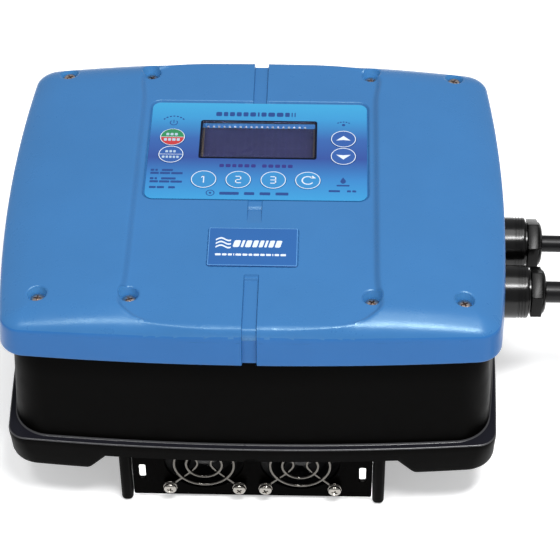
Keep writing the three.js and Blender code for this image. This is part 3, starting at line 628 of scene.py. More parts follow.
def recess_distance(x, y):
    """Distance outwards from the edge of the recessed middle, the same in all four quarters."""
    px, py = np.abs(x), np.abs(y)
    nearest = np.full(np.shape(px), np.inf)
    signed = np.zeros(np.shape(px))
    for (ax, ay), (bx, by) in zip(RECESS_EDGE[:-1], RECESS_EDGE[1:]):
        ex, ey = bx - ax, by - ay
        t = np.clip(((px - ax) * ex + (py - ay) * ey) / (ex * ex + ey * ey), 0, 1)
        away = np.hypot(px - ax - t * ex, py - ay - t * ey)
        side = np.sign((px - ax) * ey - (py - ay) * ex)
        signed = np.where(away < nearest, side * away, signed)
        nearest = np.minimum(nearest, away)
    return signed


EDGE_START = 0.95  # where the apron ends and the front begins: how far in, and how high
EDGE_Z = 109.6
APRON_REACH = 1.5  # how far in the apron's darker, duller copy of the cover's blue goes: painted shade on the steep front
PANEL_ROUNDING = 4.5  # how far the rounding reaches in from the apron, in the middle and on the wings
WING_ROUNDING = 15.5


def inset_of(x, y):
    """How far points lie inside the cover's rim, which is convex; negative outside it."""
    starts = plan_outline(COVER, 0.0)
    edges = np.roll(starts, -1, axis=0) - starts
    points = np.stack([np.ravel(x), np.ravel(y)], 1)
    nearest = np.full(len(points), np.inf)
    for start, edge in zip(starts, edges / np.hypot(*edges.T)[:, None]):
        away = points - start
        nearest = np.minimum(nearest, edge[0] * away[:, 1] - edge[1] * away[:, 0])
    return nearest.reshape(np.shape(x))


def bare_height(x, y):
    """The cover's front surface without its wells, groove and film pocket."""
    side = np.clip(np.abs(x) - 56.0, 0, None)
    crown = CREST_Z - 0.05 * side - 0.0009 * side**2
    step = smoothstep((recess_distance(x, y) + STEP_INNER) / STEP_WIDTH)
    top = PANEL_Z + (crown - PANEL_Z) * step
    reach = PANEL_ROUNDING + (WING_ROUNDING - PANEL_ROUNDING) * step
    t = np.clip((inset_of(x, y) - EDGE_START) / reach, 0, 1)
    return EDGE_Z + (top - EDGE_Z) * np.sqrt(1 - (1 - t) ** 2)


def groove_depth(x, y):
    """How deep the centre groove is at a point."""
    across = 1 - smoothstep((np.abs(x) - GROOVE_HALF + 0.2) / 0.4)
    lower_end = np.interp(y, [-59.1, -58.5, -57.3, -56.8], [1.0, 0.5, 0.5, 0.0])
    ramp = np.interp(
        y, [-24.0, -14.2, -13.0, -12.1, -9.0, -8.2, 60.2, 61.4], [0.0, 0.75, 1.0, 0.5, 0.45, 0.0, 0.0, 1.0]
    )
    along = np.where(y < -40, lower_end, ramp)
    return GROOVE_DEPTH * across * along


def rounded_distance(x, y, low, high, radius):
    """Distance outside a rounded rectangle, negative inside."""
    cx, cy = (low[0] + high[0]) / 2, (low[1] + high[1]) / 2
    qx = np.abs(x - cx) - (high[0] - low[0]) / 2 + radius
    qy = np.abs(y - cy) - (high[1] - low[1]) / 2 + radius
    outside = np.hypot(np.clip(qx, 0, None), np.clip(qy, 0, None))
    return outside + np.clip(np.maximum(qx, qy), None, 0) - radius


def cover_surface(x, y):
    """Height of every feature of the cover's front at points x, y."""
    z = bare_height(x, y)
    film = rounded_distance(x, y, *FILM, FILM_RADIUS)
    z = z - (PANEL_Z - FILM_LOW[2] + 0.1) * (1 - smoothstep((film - 0.2) / 1.3))
    badge = rounded_distance(x, y, *BADGE, BADGE_RADIUS)
    z = z - 0.35 * (1 - smoothstep((badge - 0.2) / 0.25))
    for place in SCREWS.values():
        r = np.hypot(x - place[0], y - place[1])
        lip = 0.35 * (1 - smoothstep((r - WELL_RADIUS) / 0.7))
        z = np.where(r < WELL_RADIUS - 0.02, WELL_FLOOR_Z, z - lip)
    return z


def cover_points():
    """Places for the cover's vertices: a grid, and rings and lines along each feature."""
    sets = [plan_outline(COVER, inset) for inset in [1.08, 1.25, 1.5, 1.85, 2.3, 2.9, 3.7, 4.7, 5.9, 7.3, 9, 11, 13]]
    grid_x, grid_y = np.meshgrid(np.arange(-116, 116.1, 2.4), np.arange(-96, 96.1, 2.4))
    grid = np.stack([grid_x.ravel(), grid_y.ravel()], 1)
    in_groove = (np.abs(grid[:, 0]) < 6.6) & (groove_depth(0 * grid[:, 0], grid[:, 1]) > 0)
    near_film = np.abs(rounded_distance(*grid.T, *FILM, FILM_RADIUS) - 0.6) < 1.8
    sets.append(grid[(inset_of(*grid.T) > 14.5) & ~in_groove & ~near_film])
    edge = spaced(np.concatenate([RECESS_EDGE[::-1] * (1, -1), RECESS_EDGE[1:]]), 1.3, closed=False)
    for line in parallels(edge, np.arange(-STEP_INNER - 0.7, STEP_WIDTH - STEP_INNER + 0.8, 0.7), closed=False):
        line = line[inset_of(*line.T) > 2.6]
        sets += [line, line * (-1, 1)]
    lower = np.concatenate([np.arange(-92.2, -55.0, 1.2), [-59.2, -59.0, -58.6, -58.4, -57.4, -57.2, -56.9, -56.7]])
    upper = np.concatenate([np.arange(-24.5, -6.0, 0.6), np.arange(59.6, 62.5, 0.45), np.arange(63, 92.2, 1.2)])
    for off in [0, 1.4, 2.6, *FINE_X[2:]]:
        for side in (-1, 1):
            for run in (lower, upper):
                sets.append(np.stack([np.full(len(run), side * off), run], 1))
    for low, high, radius, offs in [
        (*FILM, FILM_RADIUS, (-0.6, 0.15, 0.35, 0.6, 0.85, 1.1, 1.35, 1.6, 2.0)),
        (*BADGE, BADGE_RADIUS, (-0.6, 0.15, 0.26, 0.36, 0.48, 1.0)),
    ]:
        sets += parallels(spaced(outline_of(low, high, 0, radius, 9), 1.6), offs)
    sets.append(spaced(outline_of(*WINDOW, 0, WINDOW_RADIUS, 4), 1.5))
    points = np.concatenate(sets)
    points = points[inset_of(*points.T) > EDGE_START + 0.08]
    for place in SCREWS.values():
        points = points[np.hypot(*(points - place[:2]).T) > 6.2]
    rings = [
        np.array(circle(*place[:2], r, 44))
        for place in SCREWS.values()
        for r in (1.0, 2.5, 3.8, 4.3, 4.37, 4.41, 4.5, 4.62, 4.78, 4.95, 5.2, 5.8)
    ]
    everything = np.concatenate([points, plan_outline(COVER, EDGE_START), *rings])
    return np.unique(np.round(everything, 3), axis=0)


def spaced(outline, step, closed=True):
    """An outline with points no further apart than a step."""
    corners = [tuple(corner) for corner in outline]
    points = []
    for (x0, y0), (x1, y1) in zip(corners, corners[1:] + corners[:1] * closed):
        count = max(1, ceil(hypot(x1 - x0, y1 - y0) / step))
        points += [(x0 + (x1 - x0) * i / count, y0 + (y1 - y0) * i / count) for i in range(count)]
    return np.array(points)


def parallels(line, offs, closed=True):
    """Lines beside a counterclockwise one, at distances outwards from it."""
    if closed:
        along = np.roll(line, -1, axis=0) - np.roll(line, 1, axis=0)
    else:
        along = np.gradient(line, axis=0)
    outward = np.stack([along[:, 1], -along[:, 0]], 1) / np.hypot(*along.T)[:, None]
    return [line + outward * off for off in offs]


def front_points(plan):
    """Plan points raised to the cover's front; the groove turns from the front to the apron."""
    x, y = plan.T
    depth = groove_depth(x, y)
    turn = np.clip((6.5 - inset_of(x, y)) / (6.5 - EDGE_START), 0, 1) * pi / 2
    along_y = depth * np.sin(turn) * APRON_SHARE
    return np.column_stack([x, y - np.sign(y) * along_y, cover_surface(x, y) - depth * np.cos(turn)])


def apron_ring(inset, z):
    """An outline of the cover's apron, drawn in where the centre groove runs down it."""
    outline = plan_outline(COVER, inset)
    ends = np.abs(outline[:, 1]) > 80
    depth = groove_depth(outline[:, 0], np.where(outline[:, 1] < 0, -90.0, 90.0)) * ends
    outline[:, 1] -= np.sign(outline[:, 1]) * depth * APRON_SHARE
    return np.column_stack([outline, np.full(len(outline), z)])


def front_cover():
    """The front surface, triangulated over its plan, with the apron and its lower edge."""
    made = delaunay_2d_cdt([Vector(p) for p in cover_points()], [], [], 0, 1e-5)
    plan = np.array([tuple(v) for v in made[0]])
    front = front_points(plan)
    in_window = rounded_distance(*plan.T, *WINDOW, WINDOW_RADIUS) < 0.05
    faces = [f for f in made[2] if not in_window[list(f)].all()]
    surface = mesh_of(front, faces)
    rings = [front_points(plan_outline(COVER, EDGE_START))]
    rings += [apron_ring(EDGE_START * (1 - t), EDGE_Z + (RIM_Z + 0.8 - EDGE_Z) * t) for t in (0.15, 0.5, 0.9, 1.0)]
    rings += [apron_ring(0.12, RIM_Z + 0.3), apron_ring(0.4, RIM_Z), apron_ring(4.4, RIM_Z)]
    rings += [apron_ring(4.7, RIM_Z + 0.3), apron_ring(4.7, RIM_Z + 4)]
    apron_painted_shade = lofted(rings)
    whole = bmesh.new()
    whole.from_mesh(joined([surface, apron_painted_shade]))
    bmesh.ops.remove_doubles(whole, verts=whole.verts, dist=0.01 * MM)
    x, y, z = np.array([face.calc_center_median() for face in whole.faces]).T / MM
    from_screws = np.min([np.hypot(x - place[0], y - place[1]) for place in SCREWS.values()], axis=0)
    on_apron = (inset_of(x, y) < APRON_REACH) | (z < EDGE_Z + 0.3)
    kinds = np.where(from_screws < WELL_RADIUS, 2, on_apron)  # 0 cover, 1 apron in a darker copy (painted shade), 2 well in a lighter copy (painted light)
    for face, kind in zip(whole.faces, kinds):
        face.material_index = int(kind)
    shell = painted(from_bmesh(whole), "cover", "apron_painted_shade", "painted_lit_well")
    show("cover_shell", shell, "cover", ["front_cover"], sharp=38)


# ---------------------------------------------------------------- rear base
def skirt_bottom(x):
    """The flange's lower edge: high between the rails and low beside them, with eased corners."""
    slope = [np.interp(np.abs(x) + ease, [65.0, 74.0], [36.5, 26.5]) for ease in (-1.2, -0.6, 0, 0.6, 1.2)]
    return np.mean(slope, axis=0)


def rear_base():
    """The black tub: leaning wall, flange with a ledge on it, gland seats and two rails."""
    def lean(z):
        return -WALL_LEAN * (WALL_TOP - z) / (WALL_TOP - WALL_FOOT)

    foot = skin([
        (-WALL_LEAN - 0.6, 43.96), (-WALL_LEAN - 0.38, 44.07), (-WALL_LEAN - 0.16, 44.3), (lean(44.6), 44.6),
    ], WALL)
    wall = skin([
        (lean(44.6), 44.6),
        (lean(60), 60), (lean(80), 80), (lean(97.2), 97.2), (0.25, 97.85), (0.8, 98.0), (3, 98.0), (3, 60),
    ], WALL)
    flange = skin([
        (0.08, 43.5), (0, 43.2), (0, 40.0, 0.6), (0, 36.0, 2.2),
        (0, lambda x: np.minimum(skirt_bottom(x) + 2.0, 35.5 + skirt_bottom(x) * 0.06), 4.2),
        (0.12, lambda x: skirt_bottom(x) + 0.75, 4.8), (0.45, lambda x: skirt_bottom(x) + 0.22, 5),
        (1.0, skirt_bottom, 5), (3.2, skirt_bottom, 5), (3.5, lambda x: skirt_bottom(x) + 0.3, 5),
        (3.5, 43.5, 5),
    ], FLANGE)
    ledge_painted_light = skin([(7.0, 43.95), (0.62, 44.0)], FLANGE)
    nosing = skin([(0.62, 44.0), (0.34, 43.93), (0.16, 43.75), (0.08, 43.5)], FLANGE)
    outline = plan_outline(FLANGE, 3.5, 5.0)
    edge = outline[(outline[:, 1] > 0) & (np.abs(outline[:, 0]) > 60.8)]
    undersides = []
    for side in (-1, 1):
        places = sorted((p for p in edge if p[0] * side > 0), key=lambda p: p[0])
        points = [(x, reach, float(skirt_bottom(x)) + 0.25) for x, y in places for reach in (-y, y)]
        faces = [(2 * k, 2 * k + 1, 2 * k + 3, 2 * k + 2) for k in range(len(places) - 1)]
        undersides.append(mesh_of(points, faces))
    ceiling = soft_box((-61, -89, 46), (61, 89, 49), 0.3, 2)
    seat_profile = [(8.2, -4), (13.6, -4), (14, -3.6), (14, 3.4), (13.6, 3.9), (8.2, 3.9)]
    seats = [turned_mesh(seat_profile, "X", at=(108, y, GLAND_Z)) for y in GLAND_Y.values()]
    rails = [soft_box((x, -90.2, 0), (x + RAIL_WIDTH, 90.2, 48), 2.2, 6) for x in RAIL_STARTS]
    parts = all_painted([wall, flange, *undersides, ceiling, *seats, *rails], "black")
    # The foot and nosing carry painted highlight lines; the ledge carries painted light.
    parts += [*all_painted([foot, nosing], "edge"), painted(ledge_painted_light, "ledge_painted_light")]
    show("base_shell", joined(parts), "black", ["rear_base"], sharp=42)


# ---------------------------------------------------------------- screws
def phillips_head(radius, height, shank_radius, shank):
    """A pan head with a cross recess, seat at 0, pointing up."""
    profile = [
        (0, -shank), (shank_radius * 0.6, -shank), (shank_radius, -shank + 1), (shank_radius, 0), (radius - 0.15, 0),
        (radius, 0.15), (radius, height * 0.42), (radius * 0.96, height * 0.6), (radius * 0.86, height * 0.78),
        (radius * 0.68, height * 0.91), (radius * 0.45, height * 0.98), (0, height),
    ]
    head = placed("head", turned_mesh(profile, "Z", 40))
    wide, thin = radius * 0.56, radius * 0.13
    corners = [
        (x * wide * share, y * thin * narrowing, z)
        for share, narrowing, z in ((0.5, 0.7, height * 0.3), (1, 1, height + 0.5))
        for x, y in ((-1, -1), (1, -1), (1, 1), (-1, 1))
    ]
    cutters = []
    for turn in (0, 90):
        made = bmesh.new()
        verts = [made.verts.new([c * MM for c in corner]) for corner in corners]
        for face in [(0, 3, 2, 1), (4, 5, 6, 7), (0, 1, 5, 4), (1, 2, 6, 5), (2, 3, 7, 6), (3, 0, 4, 7)]:
            made.faces.new([verts[i] for i in face])
        made.transform(Matrix.Rotation(radians(turn), 4, "Z"))
        cutter = placed("cutter", from_bmesh(made))
        modifier = head.modifiers.new("cut", "BOOLEAN")
        modifier.object = cutter
        modifier.operation = "DIFFERENCE"
        modifier.solver = "EXACT"
        cutters.append(cutter)
    ready = head.evaluated_get(bpy.context.evaluated_depsgraph_get())
    mesh = bpy.data.meshes.new_from_object(ready)
    for used in [head, *cutters]:
        bpy.data.objects.remove(used)
    return mesh


def cover_screws():
    master = phillips_head(3.55, 2.5, 1.5, 24)
    for k, (node, (x, y, _)) in enumerate(SCREWS.items()):
        turn = Matrix.Rotation(0.4 + k * 0.55, 4, "Z")
        mesh = moved(master.copy(), shift(x, y, SCREW_HEAD_Z - 2.55) @ turn)
        # The cover screws take the lighter steel: painted light for heads in the wells' shade.
        show(f"{node}_head", mesh, "painted_lit_steel", [node], sharp=35)


# ---------------------------------------------------------------- keypad film, keys, badge and display
PRINT = 0.04  # thickness of anything printed
PIN_ROW_X = -1.2  # middle of the display's pin row
PIN_ROW_Y = 46.3
PIN_PITCH = 2.54
PIN_COUNT = 19
LOW_ROW_Y = 15.0  # keys below this stand on the film's paler end


def decal(outlines, material, z=FILM_TOP):
    """A thin printed shape on the film, or on whatever has its top at z."""
    return painted(flat_plate(outlines, z, z + PRINT, 0.008), material)


def bar(x0, x1, y, height, material, z, slant=0.0):
    """A printed block with eased corners, leaning to the right by slant."""
    outline = rounded(x0, x1, y - height / 2, y + height / 2, min(height, x1 - x0) * 0.22, 3)
    return decal([[(a + slant * (b - y), b) for a, b in outline]], material, z)


def ring(x, y, radius, width, material="white", z=FILM_TOP, start=0.0, end=2 * pi):
    """A printed ring, or part of one."""
    full = end - start > 2 * pi - 0.01
    outer, inner = (circle(x, y, r, 56 if full else 40, start, end) for r in (radius, radius - width))
    return decal([outer, inner] if full else [outer + inner[::-1]], material, z)


DIGITS = {
    1: [(0, -1, 0, 1), (-0.45, 0.6, 0, 1)],
    2: [(-0.5, 1, 0.5, 1), (0.5, 1, 0.5, 0), (0.5, 0, -0.5, 0), (-0.5, 0, -0.5, -1), (-0.5, -1, 0.5, -1)],
    3: [(-0.5, 1, 0.5, 1), (0.5, 1, 0.5, -1), (-0.5, 0, 0.5, 0), (-0.5, -1, 0.5, -1)],
}


def stroke(x0, y0, x1, y1, width, material, z=FILM_TOP):
    """A printed line with square ends."""
    along = Vector((x1 - x0, y1 - y0)).normalized()
    side = Vector((-along.y, along.x)) * width / 2
    along *= width / 2
    start, end = Vector((x0, y0)) - along, Vector((x1, y1)) + along
    return decal([[start - side, end - side, end + side, start + side]], material, z)


def numeral(value, x, y, size, z):
    return [
        stroke(x + a * size, y + b * size, x + c * size, y + d * size, size * 0.22, "white", z)
        for a, b, c, d in DIGITS[value]
    ]


KEY_WORDS = {
    "button_run_stop": [(-3.0, 1.9, 1.7, (2.0, 2.0, 2.0), 0.6), (-3.9, -1.9, 1.8, (2.0, 1.9, 2.1, 2.0), 0.55)],
    "button_set": [(-2.7, 2.0, 1.5, (1.9, 1.8, 1.7), 0.6), (-4.1, -1.9, 1.5, (1.8, 1.6, 1.7, 1.6, 1.7), 0.55)],
}


def key_print(node, x, y):
    """What is printed on one key: a white ring and a plain symbol."""
    top, radius = BUTTON_TOP, BUTTON_RADIUS - 0.1
    prints = [ring(x, y, radius, 0.36, z=top)]
    if node in KEY_WORDS:
        words_z = top
        if node == "button_run_stop":
            words_z = top + PRINT
            for material, start, lift in (("green", 0.0, 0.12), ("red", pi, -0.12)):
                half = circle(x, y + lift, radius - 0.36, 32, start, start + pi)
                prints.append(decal([half], material, top))
        prints.append(bar(x - radius + 0.3, x + radius - 0.3, y, 0.24, "white", top))
        for dx, dy, height, widths, gap in KEY_WORDS[node]:
            prints += blocks(x + dx, y + dy, height, widths, "pale", gap, words_z)
    elif node in ("button_up", "button_down"):
        way = 1 if node == "button_up" else -1
        tip = [(x - 3.4, y - 1.1 * way), (x, y - 0.7 * way), (x + 3.4, y - 1.1 * way), (x, y + 2.2 * way)]
        prints.append(decal([tip[::way]], "white", top))
    elif node == "button_backwash":
        prints.append(ring(x, y, 2.9, 0.6, z=top, start=0.7, end=5.7))
        prints.append(decal([[(x + 1.3, y + 1.3), (x + 3.7, y + 1.5), (x + 2.1, y + 3.3)]], "white", top))
    else:
        prints += numeral(int(node[-1]), x, y, 2.2, top)
    return prints


def keypad():
    """The film with its holes and prints, and a cap in each hole."""
    holes = [circle(x, y, BUTTON_RADIUS + 0.12, 56) for x, y, _ in BUTTONS.values()]
    window = outline_of(*WINDOW, -0.1, 1.3)
    outline = outline_of(*FILM, 0, FILM_RADIUS, 12)
    film = flat_plate([outline, window, *holes], FILM_LOW[2], FILM_TOP, 0.12)
    show("film_sheet", film, "film", ["overlay_film"], sharp=30)
    r, z = BUTTON_RADIUS, BUTTON_TOP
    profile = [(2, 110.5), (5.4, 110.5), (r, 111), (r, z - 0.25), (r - 0.08, z - 0.1), (r - 0.25, z), (0, z)]
    for node, (x, y, _) in BUTTONS.items():
        cap = painted(turned_mesh(profile), "key_low" if y < LOW_ROW_Y else "key")
        whole = joined([moved(cap, shift(x, y, 0)), *key_print(node, x, y)])
        show(f"{node}_cap", whole, "key", [node], body_of(node), sharp=30)
    show("film_print", joined(film_prints()), "navy", sharp=30)


def blocks(x, y, height, widths, material="navy", gap=0.8, z=FILM_TOP, slant=0.0):
    """A row of plain blocks where a plate carries words; a width of 0 is a space."""
    prints = []
    for width in widths:
        if width:
            prints.append(bar(x, x + width - gap, y, height, material, z, slant))
        x += width or height
    return prints


def film_prints():
    """Plain blocks and symbols where a keypad carries its names and ratings."""
    left, lamp_y, _ = BUTTONS["button_run_stop"]
    right = BUTTONS["button_up"][0]
    lamp_y += 10.6
    prints = [ring(left, lamp_y, 1.9, 0.4, "navy", start=2.3, end=7.1)]
    prints.append(stroke(left, lamp_y, left, lamp_y + 1.8, 0.4, "navy"))
    prints.append(decal([circle(right, lamp_y - 0.3, 0.8, 20)], "navy"))
    for x, drop, radius, width, count, first, long in (
        (left, 1.2, 6.2, 0.7, 7, 0.62, 0.17), (right, 2.8, 5.0, 0.6, 5, 0.9, 0.18)
    ):
        for start in [first + k * 0.29 for k in range(count)]:
            prints.append(ring(x, lamp_y - drop, radius, width, "navy", start=start, end=start + long))
    prints += blocks(-20.5, 51.8, 3.0, [3.6, 2.9, 3.2, 3.2, 3.2, 3.6, 1.7, 3.3, 4.0, 4.0, 3.0, 1.4, 1.4], gap=0.85)
    prints += blocks(-17.4, 15.2, 2.2, [2.9, 3.1, 2.7, 2.9, 3.1, 2.9, 0, 2.9, 3.1, 3.1, 2.8, 3.0], "violet", 0.8)
    for y, widths in (
        (11.6, (2.2, 1.6, 0, 5.6)), (9.5, (4.4, 5.2, 5.8)), (5.8, (2.2, 1.6, 0, 7.2)), (3.7, (4.4, 5.2, 5.8)),
        (-0.2, (3.6, 3.8, 0, 3.6)),
    ):
        prints += blocks(-49.0, y, 1.4, widths, gap=0.5)
    prints.append(ring(-20.8, -3.6, 2.0, 0.4, "navy"))
    prints.append(decal([circle(-20.8, -3.6, 0.6, 16)], "navy"))
    prints += blocks(-16.6, -3.8, 1.9, [9.4, 0, 5.2, 0, 5.4, 0, 6.4], gap=0.5)
    half = [(0.0, 2.4), (0.9, 0.8), (1.3, -0.2), (1.1, -1.1), (0.5, -1.7), (0, -1.85)]
    waterdrop = half + [(-a, b) for a, b in half[-2:0:-1]]
    prints.append(decal([[(right + a, 5.6 + b) for a, b in waterdrop]], "navy"))
    prints += blocks(right - 3.0, 2.4, 1.0, [6.4], gap=0.5)
    prints += blocks(right - 6.6, -1.4, 1.3, [5.8, 0, 0, 2.4, 2.4], gap=0.6)
    return prints


def badge():
    """A plate with a plain wave symbol beside leaning blocks, over a row of smaller ones."""
    low, high = BADGE
    top = high[2]
    plate = painted(flat_plate([outline_of(low, high, 0, 0.5)], low[2], top, 0.22), "badge")
    prints = [decal([outline_of(low, high, inset, 0.4) for inset in (0.24, 0.5)], "badge_edge", top)]
    y = (low[1] + high[1]) / 2
    for lift in (5.0, 2.7, 0.4):
        upper = [(x, y + lift + 0.8 * sin((x + 16) * 0.9)) for x in np.linspace(-16.6, -9.8, 30)]
        prints.append(decal([upper + [(a, b - 0.95) for a, b in upper[::-1]]], "white", top))
    upper_row = (3.6, 1.9, 3.2, 2.9, 2.5, 1.8, 2.9, 3.2)
    lower_row = (3.1, 2.6, 2.4, 1.0, 3.1, 2.7, 2.2, 3.0, 2.5, 2.8, 1.0, 2.6, 3.0)
    prints += blocks(-8.6, y + 1.8, 4.4, upper_row, "white", 0.75, top, 0.22)
    prints += blocks(-16.6, y - 5.2, 1.3, lower_row, "white", 0.55, top)
    whole = joined([plate, *prints])
    show("badge_label", whole, "badge", ["badge_plate"], sharp=30)


def lining(x, y, z, material, radius=0.1):
    """A painted box with eased edges, from its two ends along each axis."""
    low, high = zip(*(sorted(ends) for ends in (x, y, z)))
    return painted(soft_box(low, high, radius, 2), material)


def display():
    """Clear window with a black border, the pocket's walls, an unlit screen and its row of pins."""
    low, high = WINDOW
    lcd_low, lcd_high = node_mm("lcd_module")
    face = lcd_high[2] - 1.8
    border = [outline_of(low, high, 0.05, WINDOW_RADIUS), outline_of(low, high, 0.85, 0.8)]
    lens = flat_plate([outline_of(low, high, 0.9, 0.7)], low[2] + 0.5, high[2], 0.06)
    show("window_lens", lens, "clear", ["display_window"], sharp=30)
    y0, y1 = low[1] + 0.5, high[1] - 0.3
    x0, x1 = low[0] + 0.5, high[0] - 0.5
    wall = (face, low[2])
    parts = [
        painted(flat_plate(border, low[2], high[2] + 0.03, 0.03), "ink"),
        # The far wall glows blue: painted light for the lit inside of the pocket.
        lining((x0, x1), (y1, y1 + 0.8), wall, "painted_glow_wall"),
        lining((x0, x1), (y0 - 0.8, y0), wall, "cover"),
        lining((lcd_low[0], lcd_high[0]), (lcd_low[1], lcd_high[1]), (lcd_low[2], face - 0.9), "part", 0.4),
        lining((x0 + 0.4, x1 - 0.4), (y0 - 1.0, y1 + 0.2), (face - 0.9, face), "screen", 0.2),
        lining((x0, x0 - 0.8), (y0, y1), wall, "amber"),
        lining((x1, x1 + 0.8), (y0, y1), wall, "amber"),
    ]
    for x in (x0 + 0.7, x1 - 0.7):
        parts.append(lining((x - 0.5, x + 0.5), (y0, y1), (face - 0.5, face + 0.5), "amber", 0.2))
    dot = [(0.3, 0.8), (0.6, 0.85), (0.6, 1.0), (0.45, 1.2), (0.2, 1.3), (0, 1.32)]
    for k in range(PIN_COUNT):
        place = shift(PIN_ROW_X + (k - (PIN_COUNT - 1) / 2) * PIN_PITCH, PIN_ROW_Y, face + 0.5)
        for profile, segments, material in (([(0.3, 0), (0.3, 1.0)], 12, "ink"), (dot, 16, "pin")):
            parts.append(painted(moved(turned_mesh(profile, "Z", segments), place), material))
    show("lcd_unit", joined(parts), "part", ["lcd_module"], sharp=30)


# ---------------------------------------------------------------- fans
FAN_X = 22.05
FAN_Z = 25.25
FAN_HALF = 20.0
DUCT_RADIUS = 18.6
FAN_HOLES = [(x, z) for x in (-16.0, 16.0) for z in (-16.0, 16.0)]


def fan_plate():
    """A plate with a hole for each fan and its screws, and a see-through window at each side."""
    low, high = node_mm("fan_plate")
    outlines = [rounded(low[0], high[0], low[2], high[2], 1.0)]
    for x in (-FAN_X, FAN_X):
        outlines.append(circle(x, FAN_Z, 18.2, 72))
        outlines += [circle(x + dx, FAN_Z + dz, 1.8, 20) for dx, dz in FAN_HOLES]
    outlines += [rounded(x, x + 3.0, 12.5, 22.2, 0.8) for x in (-52.3, 49.3)]
    plate = flat_plate(outlines, low[1], high[1], 0.25, "XZ")
    # The plate takes a darker copy of the black: painted shade under the skirt.
    show("fan_panel", plate, "plate", ["fan_plate"], sharp=35)


def spread(mesh, x, y, count, phase=0.0):
    """Copies of a mesh set evenly round a fan's axis."""
    turns = [Matrix.Rotation(k * 2 * pi / count + phase, 4, "Y") for k in range(count)]
    return [moved(mesh.copy(), shift(x, y, FAN_Z) @ turn) for turn in turns]


def fan_frame(side, x):
    """A square frame: two flanges, the barrel between them, and the motor's cup on three struts."""
    node = f"fan_frame_{side}"
    low, high = node_mm(node)
    outlines = [rounded(x - FAN_HALF, x + FAN_HALF, FAN_Z - FAN_HALF, FAN_Z + FAN_HALF, 2.5)]
    outlines.append(circle(x, FAN_Z, DUCT_RADIUS, 72))
    outlines += [circle(x + dx, FAN_Z + dz, 2.0, 20) for dx, dz in FAN_HOLES]
    parts = [flat_plate(outlines, y, y + 3, 0.3, "XZ") for y in (low[1], high[1] - 3)]
    inner, outer = DUCT_RADIUS, DUCT_RADIUS + 1
    barrel = [(inner, 0), (outer, 0), (outer, 14.4), (inner, 14.4), (inner, 0)]
    cup = [(0, 0), (7.6, 0), (8, 0.4), (8, 2.6), (7.6, 3), (0, 3)]
    parts.append(turned_mesh(barrel, "Y", 72, at=(x, high[1] - 2.8, FAN_Z)))
    parts.append(turned_mesh(cup, "Y", 48, at=(x, high[1], FAN_Z)))
    parts += spread(soft_box((6, -1.2, -1.2), (19.4, 1.2, 1.2), 0.3, 2), x, high[1] - 1.3, 3, 0.4)
    whole = joined(all_painted(parts, "fan"))
    show(f"fan_case_{side}", whole, "fan", [node], sharp=35)


def fan_blade(inner, outer, depth):
    """One raked, curved blade about the Y axis."""
    points, faces = [], []
    rows, columns = 9, 7
    for face in (0, 1):
        for i in range(rows):
            t = i / (rows - 1)
            r = inner + (outer - inner) * t
            for j in range(columns):
                s = j / (columns - 1) - 0.5
                rake = radians(52 - 16 * t)
                sweep = s * depth * cos(rake) / r * 1.25 + 0.10 * t
                y = s * depth * sin(rake) * 1.15
                thick = (face - 0.5) * (0.9 - 0.35 * abs(s) * 2)
                angle = sweep + thick / r * sin(rake)
                points.append((r * cos(angle), y + thick * cos(rake), r * sin(angle)))
    size = rows * columns
    for i in range(rows - 1):
        for j in range(columns - 1):
            a = i * columns + j
            faces.append((a, a + 1, a + columns + 1, a + columns))
            faces.append((size + a, size + a + columns, size + a + columns + 1, size + a + 1))
    edge = list(range(columns)) + [i * columns + columns - 1 for i in range(1, rows)]
    edge += [(rows - 1) * columns + j for j in range(columns - 2, -1, -1)]
    edge += [i * columns for i in range(rows - 2, 0, -1)]
    for a, b in zip(edge, edge[1:] + edge[:1]):
        faces.append((a, b, size + b, size + a))
    return mesh_of(points, faces)


def fan_rotor(side, x):
    """Seven blades on a hub with a plain sticker."""
    node = f"fan_rotor_{side}"
    low, high = node_mm(node)
    length = high[1] - low[1]
    hub = [(0, 0), (6.2, 0), (7.2, 0.25), (7.8, 0.8), (8, 1.6), (8, length), (0, length)]
    hub = moved(turned_mesh(hub, "Y", 56), Matrix.Rotation(pi, 4, "X"))
    sticker = turned_mesh([(0, 0.1), (5.0, 0.1), (5.2, 0)], "Y", 40)
    blades = spread(fan_blade(7.6, 17.5, length * 0.86), x, (low[1] + high[1]) / 2, 7)
    parts = all_painted([moved(hub, shift(x, low[1], FAN_Z)), *blades], "fan")
    parts.append(painted(moved(sticker, shift(x, low[1] + 0.02, FAN_Z)), "part"))
    show(f"fan_wheel_{side}", joined(parts), "fan", [node], body_of(node), sharp=35)


def finger_guard(side, x):
    """Two wire rings on two bent legs, held by eyelets under the screws."""
    node = f"finger_guard_{side}"
    low, high = node_mm(node)
    wire = 0.62
    leg_y, ring_y = high[1] - wire - 0.05, low[1] + wire + 0.02
    half = [(3.0, 1.6), (5.0, 4.4), (7.4, 7.2), (9.8, 9.6), (12.4, 12.2), (14.2, 14.2)]
    leg = [(a, -b) for a, b in half[::-1]] + half
    wires = [(circle(x, FAN_Z, radius * 1.012, 24), ring_y, wire, True, 5) for radius in (13.7, 8.2)]
    wires += [([(x + way * a, FAN_Z + b) for a, b in leg], leg_y, wire, False, 5) for way in (-1, 1)]
    wires += [(circle(x + dx, FAN_Z + dz, 2.55, 16), leg_y, wire * 0.9, True, 4) for dx, dz in FAN_HOLES]
    made = [
        meshed(round_curve("wire", [(a, y, b) for a, b in line], radius, sides, cyclic))
        for line, y, radius, cyclic, sides in wires
    ]
    whole = joined(all_painted(made, "chrome"))
    show(f"guard_wires_{side}", whole, "chrome", [node], sharp=60)


